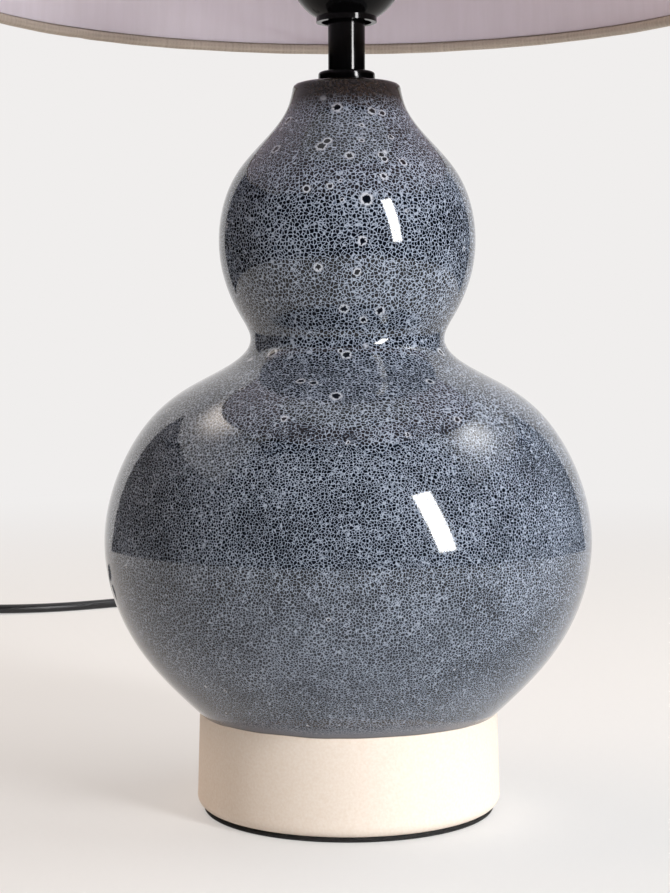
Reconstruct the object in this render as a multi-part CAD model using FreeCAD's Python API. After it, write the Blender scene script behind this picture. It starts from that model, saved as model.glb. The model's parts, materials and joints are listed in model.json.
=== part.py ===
import FreeCAD, Part
import math
import os

# Double gourd table lamp. Millimetres, +Z up, +Y to the back, where the lead leaves the foot.
# The origin is the middle of the pad's underside, on the table.

V = FreeCAD.Vector
UP = V(0, 0, 1)

# ---------------------------------------------------------------- driving sizes
# Where a clearance or a gap is named, it is the space on one side.
seat_gap = 0.1            # between pieces that only touch
thread_gap = 0.05         # between a screw thread and its hole, drawn plain
over = 1.0                # how far a cutting tool reaches past what it cuts

# foot and pad
pad_inset = 2.7           # from the foot's widest to the pad's edge
pad_thickness = 2.0
foot_radius = 64.0        # widest, just over the rounded bottom edge
foot_taper = 1.2          # how much narrower the foot is under the glaze line
foot_edge_radius = 4.5
foot_wall = 7.0
glaze_line_z = 43.2       # where the bare foot ends and the gourd begins

# the two gourds: each is drawn on ellipses, and one smooth curve joins them
lower_radius = 102.0
lower_z = 116.5
lower_drop = 93.1         # half height of the ellipse under the widest place
lower_rise = 81.0         # and over it
waist_radius = 40.8
waist_z = 201.0
upper_radius = 53.6
upper_z = 238.2
upper_half_height = 55.6
neck_root_radius = 24.0
neck_root_z = 296.0
neck_radius = 22.6
neck_z = 301.5
body_wall = 5.0
neck_throat_drop = 2.0    # the inside's last point, under the neck's shelf
neck_throat_inset = 0.5   # and its distance from the wall
neck_throat_edge = 1.5    # flat ring at the top of the inside

# top of the neck
crest_radius = 15.6
crest_z = 306.7
recess_radius = 12.6
recess_z = 304.6
neck_shelf = 8.0
rod_hole_radius = 5.8

# threaded rod and what it clamps
rod_radius = 5.0
rod_bore_radius = 4.0
rod_bottom_z = 284.0
rod_in_cap = 9.0
clamp_washer_radius = 14.5
clamp_washer_thickness = 2.0
lock_washer_radius = 8.5
lock_washer_thickness = 1.6
lock_washer_split = 1.0
clamp_nut_across_flats = 17.0
clamp_nut_height = 5.0
clamp_nut_chamfer = 1.2
clamp_nut_flare = 1.6      # how far the chamfer's cone stands off the lower corners
gasket_radius = 11.4
gasket_thickness = 1.0
neck_washer_radius = 11.8
neck_washer_thickness = 3.0
sleeve_radius = 7.7
sleeve_bore_radius = 5.4
sleeve_length = 21.6

# lampholder for a bulb with a 27 mm screw cap
cap_radius = 24.6
cap_wall = 2.2
cap_rim_height = 4.0      # straight part over the dome
cap_floor = 1.8
collar_radius = 12.6
collar_height = 2.2
collar_recess_radius = 10.4
collar_recess_depth = 1.2
cap_boss_radius = 8.6
cap_boss_height = 7.0
grub_screw_share = 0.7    # its height as a share of the boss
cap_thread_depth = 7.0
skirt_thread_radius = 20.6
skirt_flange_thickness = 2.4
skirt_flange_inset = 0.6  # inside the cap's rim
skirt_radius = 19.4
skirt_height = 25.0
skirt_bore_radius = 14.3
insert_radius = 16.6
insert_height = 10.0
insert_lift = 0.5         # from the thread's end to the block's underside
shell_bore_radius = 13.4
shell_wall = 0.5
shell_height = 22.0
contact_width = 6.0
contact_thickness = 0.6
contact_rise = 3.0
contact_groove = 3.5      # depth of its groove in the insulating block
contact_side_gap = 0.3
contact_foot = 1.0        # flat end on each side of the tongue
contact_crown = 2.0       # from the tongue's side to its raised flat
rivet_radius = 1.4
terminal_offset = 10.0
terminal_screw_radius = 2.6
terminal_screw_height = 2.2
terminal_well_depth = 3.5
terminal_well_gap = 0.4
terminal_slot_width = 0.8
terminal_slot_depth = 1.0
grub_screw_radius = 1.5

# shade: rolled edges round two wire rings, carried by a spider of three arms
shade_bottom_radius = 175.5
shade_top_radius = 158.0
shade_bottom_z = 341.2
shade_height = 210.0
cover_thickness = 0.8
lining_thickness = 0.5
lining_end_gap = 0.3
wire_radius = 1.5
wire_gap = 0.1
hub_bore_radius = 20.0
hub_radius = 24.4
hub_thickness = 1.6
arm_radius = 1.5
arm_wire_gap = 0.4        # between an arm's end and the wire
arm_wire_rise = 0.6       # an arm meets the wire this far over its middle
arm_angles = (90, 210, 330)
ring_bore_radius = 19.8
ring_radius = 28.0
ring_height = 7.0
ring_edge = 1.2
ring_grooves = 24
ring_groove_radius = 1.0

# the lead and its way out of the foot
cord_radius = 3.2
lead_hole_z = 16.0
lead_hole_radius = 5.6
relief_flange_radius = 7.6
relief_flange_thickness = 2.4
relief_length = 28.0
relief_tip_radius = 4.3
relief_clearance = 0.1
relief_inner_reach = 2.0  # past the foot's inner wall
relief_slots = 4
relief_slot_width = 1.6
relief_slot_floor = 0.25  # under the tip's radius
relief_slot_start = 0.2   # shares of the sleeve's length
relief_slot_step = 0.18
stop_radius = 7.0
stop_length = 6.0
stop_split = 1.0
sheath_reach = 2.0        # the sheath ends this far over the rod
core_radius = 1.2
core_spacing = 1.5

# inline switch, lying along Y behind the lamp
switch_x = 26.0
switch_y = 343.0
switch_length = 62.0
switch_width = 26.0
switch_end_width = 13.0
switch_base_height = 6.4
switch_cover_height = 9.0
switch_wall = 1.8
switch_lift = 0.1         # over the table
switch_grip = 5.0         # length of lead held in each end
switch_grip_step = 1.0    # the end walls reach this far past the lead's ends
switch_corner = 3.0
switch_base_edge = 1.2
switch_cover_edge = 2.4
switch_screw_sink = 1.4   # depth of the head's seat
switch_pilot_depth = 6.0
switch_screw_side_gap = 0.2
terminal_block_x = 4.0    # from the middle
terminal_block_shift = 3.0
terminal_block_width = 4.0
terminal_block_length = 9.0
terminal_block_height = 4.6
terminal_block_bore = 1.1
terminal_block_bore_z = 2.2
rocker_length = 21.8
rocker_width = 12.4
rocker_height = 7.4
rocker_axis_z = 11.6
rocker_dip = 1.1
rocker_keel = 2.4         # underside, below the pin's middle
rocker_keel_share = 0.55  # length of its flat underside
rocker_end_drop = 0.5     # ends' lower corners, below the pin's middle
rocker_tilt = 8.0         # degrees each way from level
rocker_pin_radius = 1.2
rocker_pin_gap = 0.08
rocker_pin_reach = 1.2    # into each wall of the well
rocker_gap = 0.35
rocker_well_wall = 1.6
rocker_well_drop = 2.6
switch_screw_offset_x = 5.3
switch_screw_offset_y = 18.0
switch_screw_radius = 1.1
switch_screw_head_radius = 1.9
switch_screw_head_height = 1.2
switch_screw_slot_length = 2.6
switch_screw_slot = 0.6   # its width and its depth
switch_screw_length = 11.0
switch_boss_radius = 2.5

# flat two pin plug
plug_x = -257.0
plug_y = 412.0            # its cord end
plug_width = 35.3
plug_thickness = 13.7
plug_length = 34.0
plug_tail_length = 16.0
plug_lift = 0.1
plug_corner = 0.42        # of its thickness
plug_face_round = 2.0     # length of the rounding at its face
# along the body: share of its length, width, thickness and corner less than the full one
plug_grip = ((0.35, 1.0, 0.0, 0.0), (0.75, 0.62, 1.0, 0.5), (1.0, 0.36, 2.4, 1.0))
plug_face_narrower = 3.0
plug_face_thinner = 2.0
plug_tail_root = 1.65     # shares of the cord's radius
plug_tail_tip = 1.35
plug_tail_floor = 1.2
plug_tail_slots = 3
plug_tail_slot_width = 1.4
plug_tail_slot_start = 0.22
plug_tail_slot_step = 0.24
pin_radius = 2.0
pin_core_radius = 1.3
pin_length = 19.0
pin_sleeve_length = 10.0
pin_sleeve_radius = 1.75
pin_sleeve_gap = 0.05
pin_spacing = 18.6
pin_root_depth = 7.9      # inside the body
pin_tip_round = 0.8       # of its radius

# put-away coil
coil_x = -320.0
coil_y = 513.5
coil_radius = 38.5
coil_pitch = 7.0          # from turn to turn and from layer to layer
tie_width = 8.0
tie_thickness = 0.6
tie_gap = 0.2
tie_slack = 1.0
tie_corner = 2.5

# ---------------------------------------------------------------- sizes that follow
foot_bottom_z = pad_thickness
foot_face_y = foot_radius
foot_top_radius = foot_radius - foot_taper
pad_radius = foot_radius - pad_inset
collar_bottom_z = recess_z + gasket_thickness + neck_washer_thickness + sleeve_length - collar_recess_depth
cap_centre_z = collar_bottom_z + collar_height + math.sqrt(cap_radius**2 - collar_radius**2)
cap_top_z = cap_centre_z + cap_rim_height
rod_top_z = collar_bottom_z + rod_in_cap
sheath_end_z = rod_top_z + sheath_reach
cap_recess_z = collar_bottom_z + collar_recess_depth
grub_z = cap_recess_z + grub_screw_share * cap_boss_height
flange_z = cap_top_z + seat_gap
seat_z = flange_z + skirt_flange_thickness
insert_z = cap_top_z - cap_thread_depth
shell_z = insert_z + insert_height
well_top_z = insert_z + terminal_well_depth
shade_top_z = shade_bottom_z + shade_height
roll_radius = wire_radius + wire_gap + cover_thickness
taper = (shade_bottom_radius - shade_top_radius) / shade_height
floor_cord_z = cord_radius + 0.05
coil_z = cord_radius + tie_thickness + tie_gap + 0.1
switch_cord_z = switch_lift + switch_base_height
switch_near_y = switch_y - switch_length / 2
switch_far_y = switch_y + switch_length / 2
plug_cord_z = plug_lift + plug_thickness / 2
relief_tip_y = foot_face_y + relief_flange_thickness + relief_length
relief_inner_y = foot_radius - foot_wall - relief_inner_reach

# ---------------------------------------------------------------- the cord's way, points chosen by hand
base_route = [
    V(0, relief_tip_y, lead_hole_z),
    V(0, 122, lead_hole_z),
    V(3, 160, 6),
    V(12, 205, floor_cord_z),
    V(22, 250, floor_cord_z),
    V(switch_x, 288, switch_cord_z),
    V(switch_x, switch_near_y + switch_grip, switch_cord_z),
]
coil_route = [
    V(switch_x, switch_far_y - switch_grip, switch_cord_z),
    V(switch_x, 399, switch_cord_z),
    V(32, 440, floor_cord_z),
    V(50, 490, floor_cord_z),
    V(64, 548, floor_cord_z),
    V(52, 606, floor_cord_z),
    V(10, 644, floor_cord_z),
    V(-47, 650, floor_cord_z),
    V(-105, 630, floor_cord_z),
    V(-158, 594, floor_cord_z),
    V(-212, 562, floor_cord_z),
    V(-266, coil_y + coil_radius, coil_z),
    V(coil_x + 2 * cord_radius, coil_y + coil_radius, coil_z),
]
tail_route = [
    V(coil_x + 2 * cord_radius, coil_y - coil_radius - coil_pitch, coil_z + coil_pitch),
    V(-290, coil_y - coil_radius - coil_pitch, coil_z + coil_pitch),
    V(-268, 456, 10),
    V(plug_x, 435, 8),
    V(plug_x, plug_y, plug_cord_z),
]
lead_route = [
    V(0, relief_tip_y, lead_hole_z),
    V(0, 20, lead_hole_z),
    V(0, -10, 52),
    V(0, -14, 112),
    V(0, -4, 180),
    V(0, 0, 240),
    V(0, 0, sheath_end_z),
]


# ---------------------------------------------------------------- helpers
def polar(radius, degrees, z=0.0):
    angle = math.radians(degrees)
    return V(radius * math.cos(angle), radius * math.sin(angle), z)


def tube(outer, inner, low, high):
    """A ring about Z from one height to another; inner 0 makes it solid."""
    body = Part.makeCylinder(outer, high - low, V(0, 0, low))
    if inner <= 0:
        return body
    return body.cut(Part.makeCylinder(inner, high - low + 2 * over, V(0, 0, low - over)))


def revolved(edges):
    """Turns a closed outline in the XZ plane about Z."""
    face = Part.Face(Part.Wire(edges))
    return face.revolve(V(0, 0, 0), UP, 360)


def at(radius, z):
    return V(radius, 0, z)


def along_y(radius, start, length, x=0.0, z=lead_hole_z):
    """A round bar along Y."""
    return Part.makeCylinder(radius, length, V(x, start, z), V(0, 1, 0))


def rim(shape, radius):
    """The full circles of a turned piece at one radius."""
    return [e for e in shape.Edges if abs(e.BoundBox.XMax - radius) < 0.01 and e.Length > 4 * radius]


def line(a, b):
    return Part.LineSegment(a, b).toShape()


def arc(a, middle, b):
    return Part.Arc(a, middle, b).toShape()


def polyline(points):
    """Straight edges through the points and back to the first."""
    return [line(a, b) for a, b in zip(points, points[1:] + points[:1])]


def rounded_wire(points, radius):
    """Straight runs joined by tangent arcs; each arc is 0.45 of its shorter run, or radius if given."""
    edges = []
    radii = []
    start = points[0]
    for before, corner, after in zip(points, points[1:], points[2:]):
        back = before - corner
        ahead = after - corner
        half_turn = (math.pi - back.getAngle(ahead)) / 2
        reach = 0.45 * min(back.Length, ahead.Length)
        if radius:
            reach = radius * math.tan(half_turn)
        into = corner + back.normalize() * reach
        out = corner + ahead.normalize() * reach
        bend = reach / math.tan(half_turn)
        centre = corner + (back + ahead).normalize() * (bend / math.cos(half_turn))
        middle = centre + (corner - centre).normalize() * bend
        edges += [line(start, into), arc(into, middle, out)]
        radii.append(bend)
        start = out
    edges.append(line(start, points[-1]))
    return Part.Wire(edges), radii


def piped(path, radius):
    """A round tube along a path."""
    first = path.Edges[0]
    start = first.valueAt(first.FirstParameter)
    section = Part.Wire(Part.makeCircle(radius, start, first.tangentAt(first.FirstParameter)))
    return path.makePipeShell([section], True, False)


def cord_along(name, points, radius=cord_radius):
    """A cord's tube, with its bend radii and volume printed for checking."""
    path, radii = rounded_wire(points, 0)
    cord = piped(path, radius)
    share = cord.Volume / (math.pi * radius**2 * path.Length)
    tightest = min(radii)
    print(f"{name}: {path.Length:.0f} mm long, radii {[round(r) for r in radii]}, least {tightest:.0f}")
    print(f"{name}: volume is {share:.4f} of section times length")
    return cord


def save(name, shape):
    shape.exportStep(f"parts/{name}.step")
    kind = "ok" if shape.isValid() else "NOT VALID"
    print(f"{name}: {len(shape.Solids)} solid, {shape.Volume:.0f} mm3, {kind}")


# ---------------------------------------------------------------- ceramic body
def ellipse_points(radius, half_height, centre_z, degrees):
    spread = [math.radians(d) for d in degrees]
    return [at(radius * math.cos(a), centre_z + half_height * math.sin(a)) for a in spread]


def gourd_points(inset):
    """Points up the side of both gourds, the whole outline moved inwards by inset."""
    lower = lower_radius - inset
    upper = upper_radius - inset
    points = ellipse_points(lower, lower_drop - inset, lower_z, (-52, -30))
    points += ellipse_points(lower, lower_rise - inset, lower_z, (0, 28, 50))
    points.append(at(waist_radius - inset, waist_z))
    points += ellipse_points(upper, upper_half_height - inset, upper_z, (-33, 0, 30, 52))
    points.append(at(neck_root_radius - inset, neck_root_z))
    points.append(at(neck_radius - inset, neck_z))
    return points


def smooth(points):
    curve = Part.BSplineCurve()
    curve.interpolate(points)
    return curve.toShape()


def make_ceramic_body():
    """Hollow slip-cast body: both gourds, the neck's shelf and the bare foot are one fired piece."""
    outside = gourd_points(0)
    outside[0] = at(foot_top_radius, glaze_line_z)
    inside = gourd_points(body_wall)[:-2]
    shelf_z = recess_z - neck_shelf
    inside.append(at(neck_root_radius - body_wall - neck_throat_inset, shelf_z - neck_throat_drop))
    throat = at(inside[-1].x - neck_throat_edge, shelf_z)
    foot_bore = foot_radius - foot_wall
    edge = foot_edge_radius
    diagonal = edge * (1 - math.cos(math.pi / 4))
    shoulder = neck_radius - crest_radius
    rise = crest_z - neck_z
    roll = math.cos(math.pi / 4)
    foot_corner = at(foot_radius - diagonal, foot_bottom_z + diagonal)
    edges = [
        line(at(foot_bore, foot_bottom_z), at(foot_radius - edge, foot_bottom_z)),
        arc(at(foot_radius - edge, foot_bottom_z), foot_corner, at(foot_radius, foot_bottom_z + edge)),
        line(at(foot_radius, foot_bottom_z + edge), outside[0]),
        smooth(outside),
        arc(outside[-1], at(crest_radius + shoulder * roll, neck_z + rise * roll), at(crest_radius, crest_z)),
        line(at(crest_radius, crest_z), at(recess_radius, recess_z)),
        line(at(recess_radius, recess_z), at(rod_hole_radius, recess_z)),
        line(at(rod_hole_radius, recess_z), at(rod_hole_radius, shelf_z)),
        line(at(rod_hole_radius, shelf_z), throat),
        line(throat, inside[-1]),
        smooth(inside[::-1]),
        line(inside[0], at(foot_bore, glaze_line_z - body_wall)),
        line(at(foot_bore, glaze_line_z - body_wall), at(foot_bore, foot_bottom_z)),
    ]
    body = revolved(edges)
    return body.cut(along_y(lead_hole_radius, foot_bore - foot_wall, 3 * foot_wall))


def make_base_pad():
    return tube(pad_radius, 0, 0, pad_thickness)


# ---------------------------------------------------------------- neck clamp and stem
def make_neck_pieces():
    """What the rod clamps, from under the neck's shelf to the lampholder."""
    shelf_z = recess_z - neck_shelf
    washer_z = shelf_z - clamp_washer_thickness
    lock_z = washer_z - lock_washer_thickness
    nut_z = lock_z - clamp_nut_height
    hole = rod_radius + thread_gap
    loose_hole = rod_radius + 4 * thread_gap
    corner = clamp_nut_across_flats / 2 / math.cos(math.radians(30))
    hexagon = Part.Face(Part.Wire(polyline([polar(corner, 60 * k, nut_z) for k in range(6)])))
    nut = hexagon.extrude(V(0, 0, clamp_nut_height))
    cone = Part.makeCone(corner + clamp_nut_flare, corner - clamp_nut_chamfer, clamp_nut_height, V(0, 0, nut_z))
    nut = nut.common(cone).cut(tube(hole, 0, nut_z - over, lock_z + over))
    lock = tube(lock_washer_radius, loose_hole, lock_z, washer_z)
    split = Part.makeBox(2 * lock_washer_radius, lock_washer_split, lock_washer_thickness + 2 * over,
                         V(0, -lock_washer_split / 2, lock_z - over))
    washer_top = recess_z + gasket_thickness + neck_washer_thickness
    neck_washer = tube(neck_washer_radius, loose_hole, recess_z + gasket_thickness, washer_top)
    neck_washer = neck_washer.makeFillet(0.4 * neck_washer_thickness, rim(neck_washer, neck_washer_radius))
    return {
        "clamp_nut": nut,
        "lock_washer": lock.cut(split),
        "clamp_washer": tube(clamp_washer_radius, loose_hole, washer_z, shelf_z),
        "neck_gasket": tube(gasket_radius, loose_hole, recess_z, recess_z + gasket_thickness),
        "neck_washer": neck_washer,
        "threaded_rod": tube(rod_radius, rod_bore_radius, rod_bottom_z, rod_top_z),
        "stem_sleeve": tube(sleeve_radius, sleeve_bore_radius, washer_top, washer_top + sleeve_length),
    }


# ---------------------------------------------------------------- lampholder
def make_holder_cap():
    """Domed cap: a half ball with a collar under it, a threaded boss for the rod and a threaded mouth."""
    low = collar_bottom_z
    pole_z = cap_centre_z - cap_radius
    ball = Part.makeSphere(cap_radius, V(0, 0, cap_centre_z))
    below = tube(cap_radius + over, 0, pole_z, cap_centre_z)
    dome = ball.common(below)
    dome = dome.fuse(tube(cap_radius, 0, cap_centre_z, cap_top_z))
    dome = dome.fuse(tube(collar_radius, 0, low, low + collar_height + 2 * over))
    hollow = Part.makeSphere(cap_radius - cap_wall, V(0, 0, cap_centre_z)).common(below)
    mouth = skirt_thread_radius + thread_gap
    hollow = hollow.fuse(tube(mouth, 0, insert_z - over, cap_top_z + over))
    hollow = hollow.cut(tube(cap_radius, 0, low - over, cap_recess_z + cap_floor))
    dome = dome.cut(hollow)
    dome = dome.cut(tube(collar_recess_radius, 0, pole_z - over, cap_recess_z))
    boss_top_z = cap_recess_z + cap_boss_height
    dome = dome.fuse(tube(cap_boss_radius, 0, cap_recess_z, boss_top_z))
    dome = dome.cut(tube(rod_radius + thread_gap, 0, low - over, boss_top_z + over))
    reach = cap_boss_radius + over
    grub_hole = Part.makeCylinder(grub_screw_radius + thread_gap, reach, V(0, 0, grub_z), V(1, 0, 0))
    return dome.cut(grub_hole).removeSplitter()


def make_grub_screw():
    start = rod_radius + seat_gap
    return Part.makeCylinder(grub_screw_radius, cap_boss_radius - start, V(start, 0, grub_z), V(1, 0, 0))


def make_holder_skirt():
    """Threaded upper half: its lower end screws into the cap, and the shade sits on its flange."""
    top = seat_z + skirt_height
    skirt = tube(skirt_thread_radius, 0, insert_z, flange_z)
    skirt = skirt.fuse(tube(cap_radius - skirt_flange_inset, 0, flange_z, seat_z))
    skirt = skirt.fuse(tube(skirt_radius, 0, seat_z, top))
    skirt = skirt.cut(tube(insert_radius + seat_gap, 0, insert_z - over, shell_z))
    skirt = skirt.cut(tube(skirt_bore_radius, 0, shell_z - over, top + over))
    return skirt.removeSplitter()


def make_holder_inside():
    """Insulating block, threaded shell for the bulb, centre contact and the two terminal screws."""
    block_z = insert_z + insert_lift
    block = tube(insert_radius, 0, block_z, shell_z - seat_gap)
    rivet_hole = tube(rivet_radius + seat_gap, 0, insert_z - over, shell_z + over)
    head_z = well_top_z - terminal_screw_height
    wells = []
    screws = []
    for side in (-1, 1):
        place = V(side * terminal_offset, 0, 0)
        well = tube(terminal_screw_radius + terminal_well_gap, 0, insert_z - over, well_top_z)
        head = tube(terminal_screw_radius, 0, head_z, well_top_z)
        slot = Part.makeBox(2 * terminal_screw_radius, terminal_slot_width, terminal_slot_depth,
                            V(-terminal_screw_radius, -terminal_slot_width / 2, head_z))
        wells.append(well.translated(place))
        screws.append(head.cut(slot).translated(place))
    block = block.cut(Part.makeCompound(wells)).cut(rivet_hole)
    shell = tube(shell_bore_radius + shell_wall, shell_bore_radius, shell_z, shell_z + shell_height)
    half = contact_width / 2
    groove_z = shell_z - contact_groove
    reach = half + contact_foot
    groove_x = reach + contact_side_gap
    groove_y = half + contact_side_gap
    groove = Part.makeBox(2 * groove_x, 2 * groove_y, 2 * contact_groove, V(-groove_x, -groove_y, groove_z))
    foot_z = groove_z + seat_gap
    foot_top = foot_z + contact_thickness
    tip_z = foot_z + contact_rise
    crown = half - contact_crown
    strip = [at(-reach, foot_z), at(reach, foot_z), at(reach, foot_top), at(half, foot_top),
             at(crown, tip_z), at(-crown, tip_z), at(-half, foot_top), at(-reach, foot_top)]
    tongue = Part.Face(Part.Wire(polyline(strip))).extrude(V(0, contact_width, 0))
    tongue.translate(V(0, -contact_width / 2, 0))
    rivet = tube(rivet_radius, 0, block_z, foot_top)
    return {
        "holder_insert": block.cut(groove),
        "screw_shell": shell,
        "centre_contact": tongue.fuse(rivet).removeSplitter(),
        "terminal_screws": Part.makeCompound(screws),
    }


def make_core(side):
    """One insulated core from the sheath's end to its terminal."""
    start_z = sheath_end_z + seat_gap
    end_z = well_top_z - terminal_screw_height - seat_gap
    span = end_z - start_z
    points = [V(side * core_spacing, 0, start_z), V(side * core_spacing, 0, start_z + 0.3 * span),
              V(side * terminal_offset, 0, start_z + 0.6 * span), V(side * terminal_offset, 0, end_z)]
    path, radii = rounded_wire(points, 0)
    return piped(path, core_radius)


# ---------------------------------------------------------------- shade
def wall_radius(z):
    """Outside radius of the shade at a height."""
    return shade_bottom_radius - taper * (z - shade_bottom_z)


def frustum(inset_outer, inset_inner, low, high):
    points = [at(wall_radius(low) - inset_inner, low), at(wall_radius(low) - inset_outer, low),
              at(wall_radius(high) - inset_outer, high), at(wall_radius(high) - inset_inner, high)]
    return revolved(polyline(points))


def wire_place(end):
    """Radius and height of the wire ring inside the rolled edge at the bottom or top."""
    z = shade_bottom_z + roll_radius if end == "bottom" else shade_top_z - roll_radius
    return wall_radius(z) - roll_radius, z


def make_wire(end):
    radius, z = wire_place(end)
    return Part.makeTorus(radius, wire_radius, V(0, 0, z))


def arm_tube(angle, radius):
    """One straight arm from the hub down to the bottom wire."""
    ring, ring_z = wire_place("bottom")
    inner = polar(hub_radius + seat_gap + arm_radius * 0.2, angle, seat_z)
    outer = polar(ring - wire_radius - seat_gap - arm_wire_gap, angle, ring_z + arm_wire_rise)
    along = outer - inner
    return Part.makeCylinder(radius, along.Length, inner, along)


def make_shade_cover():
    """Linen on its stiff backing, rolled round the wire at both ends; slots let the arms through."""
    wires = [wire_place("bottom"), wire_place("top")]
    cover = frustum(0, cover_thickness, wires[0][1], wires[1][1])
    for radius, z in wires:
        roll = Part.makeTorus(radius, roll_radius, V(0, 0, z))
        cover = cover.fuse(roll)
    for radius, z in wires:
        cover = cover.cut(Part.makeTorus(radius, wire_radius + wire_gap, V(0, 0, z)))
    for angle in arm_angles:
        cover = cover.cut(arm_tube(angle, arm_radius + 3 * wire_gap))
    return cover


def make_shade_lining():
    low = wire_place("bottom")[1] + roll_radius + lining_end_gap
    high = wire_place("top")[1] - roll_radius - lining_end_gap
    near = cover_thickness + seat_gap
    lining = frustum(near, near + lining_thickness, low, high)
    for angle in arm_angles:
        lining = lining.cut(arm_tube(angle, arm_radius + 3 * wire_gap))
    return lining


def make_clamp_ring():
    """The ring that screws down on the shade's hub, with finger grooves round it."""
    low = seat_z + hub_thickness + 2 * seat_gap
    ring = tube(ring_radius, ring_bore_radius, low, low + ring_height)
    ring = ring.makeFillet(ring_edge, rim(ring, ring_radius))
    grooves = []
    for k in range(ring_grooves):
        place = polar(ring_radius + 0.3 * ring_groove_radius, 360 * k / ring_grooves, low - over)
        grooves.append(Part.makeCylinder(ring_groove_radius, ring_height + 2 * over, place))
    return ring.cut(Part.makeCompound(grooves))


# ---------------------------------------------------------------- lead, strain relief and coil
def make_strain_relief():
    """Flange on the foot, a plug in the hole and a tapered sleeve with flexing ribs."""
    face = foot_face_y
    plug = along_y(lead_hole_radius - relief_clearance, relief_inner_y, face - relief_inner_y)
    flange = along_y(relief_flange_radius, face, relief_flange_thickness)
    root = V(0, face + relief_flange_thickness, lead_hole_z)
    sleeve = Part.makeCone(lead_hole_radius, relief_tip_radius, relief_length, root, V(0, 1, 0))
    relief = plug.fuse(flange).fuse(sleeve)
    for k in range(relief_slots):
        y = root.y + relief_length * (relief_slot_start + relief_slot_step * k)
        outer = along_y(lead_hole_radius + over, y, relief_slot_width)
        kept = along_y(relief_tip_radius - relief_slot_floor, y, relief_slot_width)
        relief = relief.cut(outer.cut(kept))
    bore_start = relief_inner_y - over
    bore = along_y(cord_radius + relief_clearance, bore_start, relief_tip_y + over - bore_start)
    return relief.cut(bore).removeSplitter()


def make_cord_stop():
    """Collar clamped on the lead just inside the foot."""
    y = relief_inner_y - seat_gap - stop_length
    collar = along_y(stop_radius, y, stop_length)
    bore = along_y(cord_radius + relief_clearance, y - over, stop_length + 2 * over)
    slot = Part.makeBox(stop_split, stop_length + 2 * over, 2 * stop_radius,
                        V(-stop_split / 2, y - over, lead_hole_z))
    return collar.cut(bore).cut(slot)


def coil_arcs():
    """Half turns of the put-away coil, as (radius, centre y, side, low z, high z), from the floor layer up.

    The lower layer spirals in, the fourth half turn climbs, and the upper layer mirrors the lower one.
    """
    r, p = coil_radius, coil_pitch
    low, high = coil_z, coil_z + coil_pitch
    inward = [(r, coil_y, -1), (r - p / 2, coil_y - p / 2, 1), (r - p, coil_y, -1)]
    mirror_y = 2 * (coil_y - p / 2)
    turns = [(radius, y, side, low, low) for radius, y, side in inward]
    turns.append((r - 1.5 * p, coil_y - p / 2, 1, low, high))
    turns += [(radius, mirror_y - y, side, high, high) for radius, y, side in inward[::-1]]
    return turns


def make_coil():
    """One unbroken tube: straight for a diameter, seven half turns in two layers, straight for a diameter."""
    lead = 2 * cord_radius
    edges = []
    down = True
    for radius, centre_y, side, low, high in coil_arcs():
        reach = radius if down else -radius
        start = V(coil_x, centre_y + reach, low)
        end = V(coil_x, centre_y - reach, high)
        middle = V(coil_x + side * radius, centre_y, (low + high) / 2)
        edges.append(arc(start, middle, end))
        down = not down
    first = edges[0].Vertexes[0].Point
    last = edges[-1].Vertexes[-1].Point
    edges = [line(first + V(lead, 0, 0), first)] + edges + [line(last, last + V(lead, 0, 0))]
    path = Part.Wire(edges)
    coil = piped(path, cord_radius)
    share = coil.Volume / (math.pi * cord_radius**2 * path.Length)
    print(f"cord_coil: {path.Length:.0f} mm long, volume is {share:.4f} of section times length")
    points = path.discretize(Distance=2.0)
    apart = min(a.distanceToPoint(b) for i, a in enumerate(points) for b in points[i + 20:])
    print(f"cord_coil: least gap to itself {apart - 2 * cord_radius:.2f} mm")
    return coil


def make_cord_tie():
    """A strap round the bundle of turns, on the side away from the lamp."""
    y = coil_y - coil_pitch / 2
    x0 = coil_x - coil_radius - cord_radius - tie_gap
    x1 = coil_x - coil_radius + coil_pitch + cord_radius + tie_slack
    z0 = coil_z - cord_radius - tie_gap
    z1 = coil_z + coil_pitch + cord_radius + tie_gap
    t = tie_thickness

    def loop(grow, radius):
        box = Part.makeBox(x1 - x0 + 2 * grow, tie_width, z1 - z0 + 2 * grow,
                           V(x0 - grow, y - tie_width / 2, z0 - grow))
        along = [e for e in box.Edges if abs(e.tangentAt(e.FirstParameter).y) > 0.9]
        return box.makeFillet(radius, along)

    return loop(t, tie_corner + t).cut(loop(0, tie_corner))


# ---------------------------------------------------------------- inline switch
def switch_outline(inset, z):
    """Plan of the switch: two long bows between two short ends."""
    half = switch_length / 2 - inset
    end = switch_end_width / 2 - inset
    side = switch_width / 2 - inset
    a, b = V(switch_x + end, switch_y - half, z), V(switch_x + end, switch_y + half, z)
    c, d = V(switch_x - end, switch_y + half, z), V(switch_x - end, switch_y - half, z)
    edges = [arc(a, V(switch_x + side, switch_y, z), b), line(b, c),
             arc(c, V(switch_x - side, switch_y, z), d), line(d, a)]
    return Part.Face(Part.Wire(edges))


def switch_bores():
    """Holes for the lead in both ends, on the joint of the two halves."""
    reach = switch_grip + 2 * over
    radius = cord_radius + relief_clearance
    near = along_y(radius, switch_near_y - over, reach, switch_x, switch_cord_z)
    far = along_y(radius, switch_far_y + over - reach, reach, switch_x, switch_cord_z)
    return near.fuse(far)


def switch_screw_places():
    return [(switch_x + s * switch_screw_offset_x, switch_y - s * switch_screw_offset_y) for s in (-1, 1)]


def rim_edges(shape, z):
    """The plan edges that lie flat at one height."""
    return [e for e in shape.Edges if abs(e.BoundBox.ZMin - z) < 1e-4 and abs(e.BoundBox.ZMax - z) < 1e-4]


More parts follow.
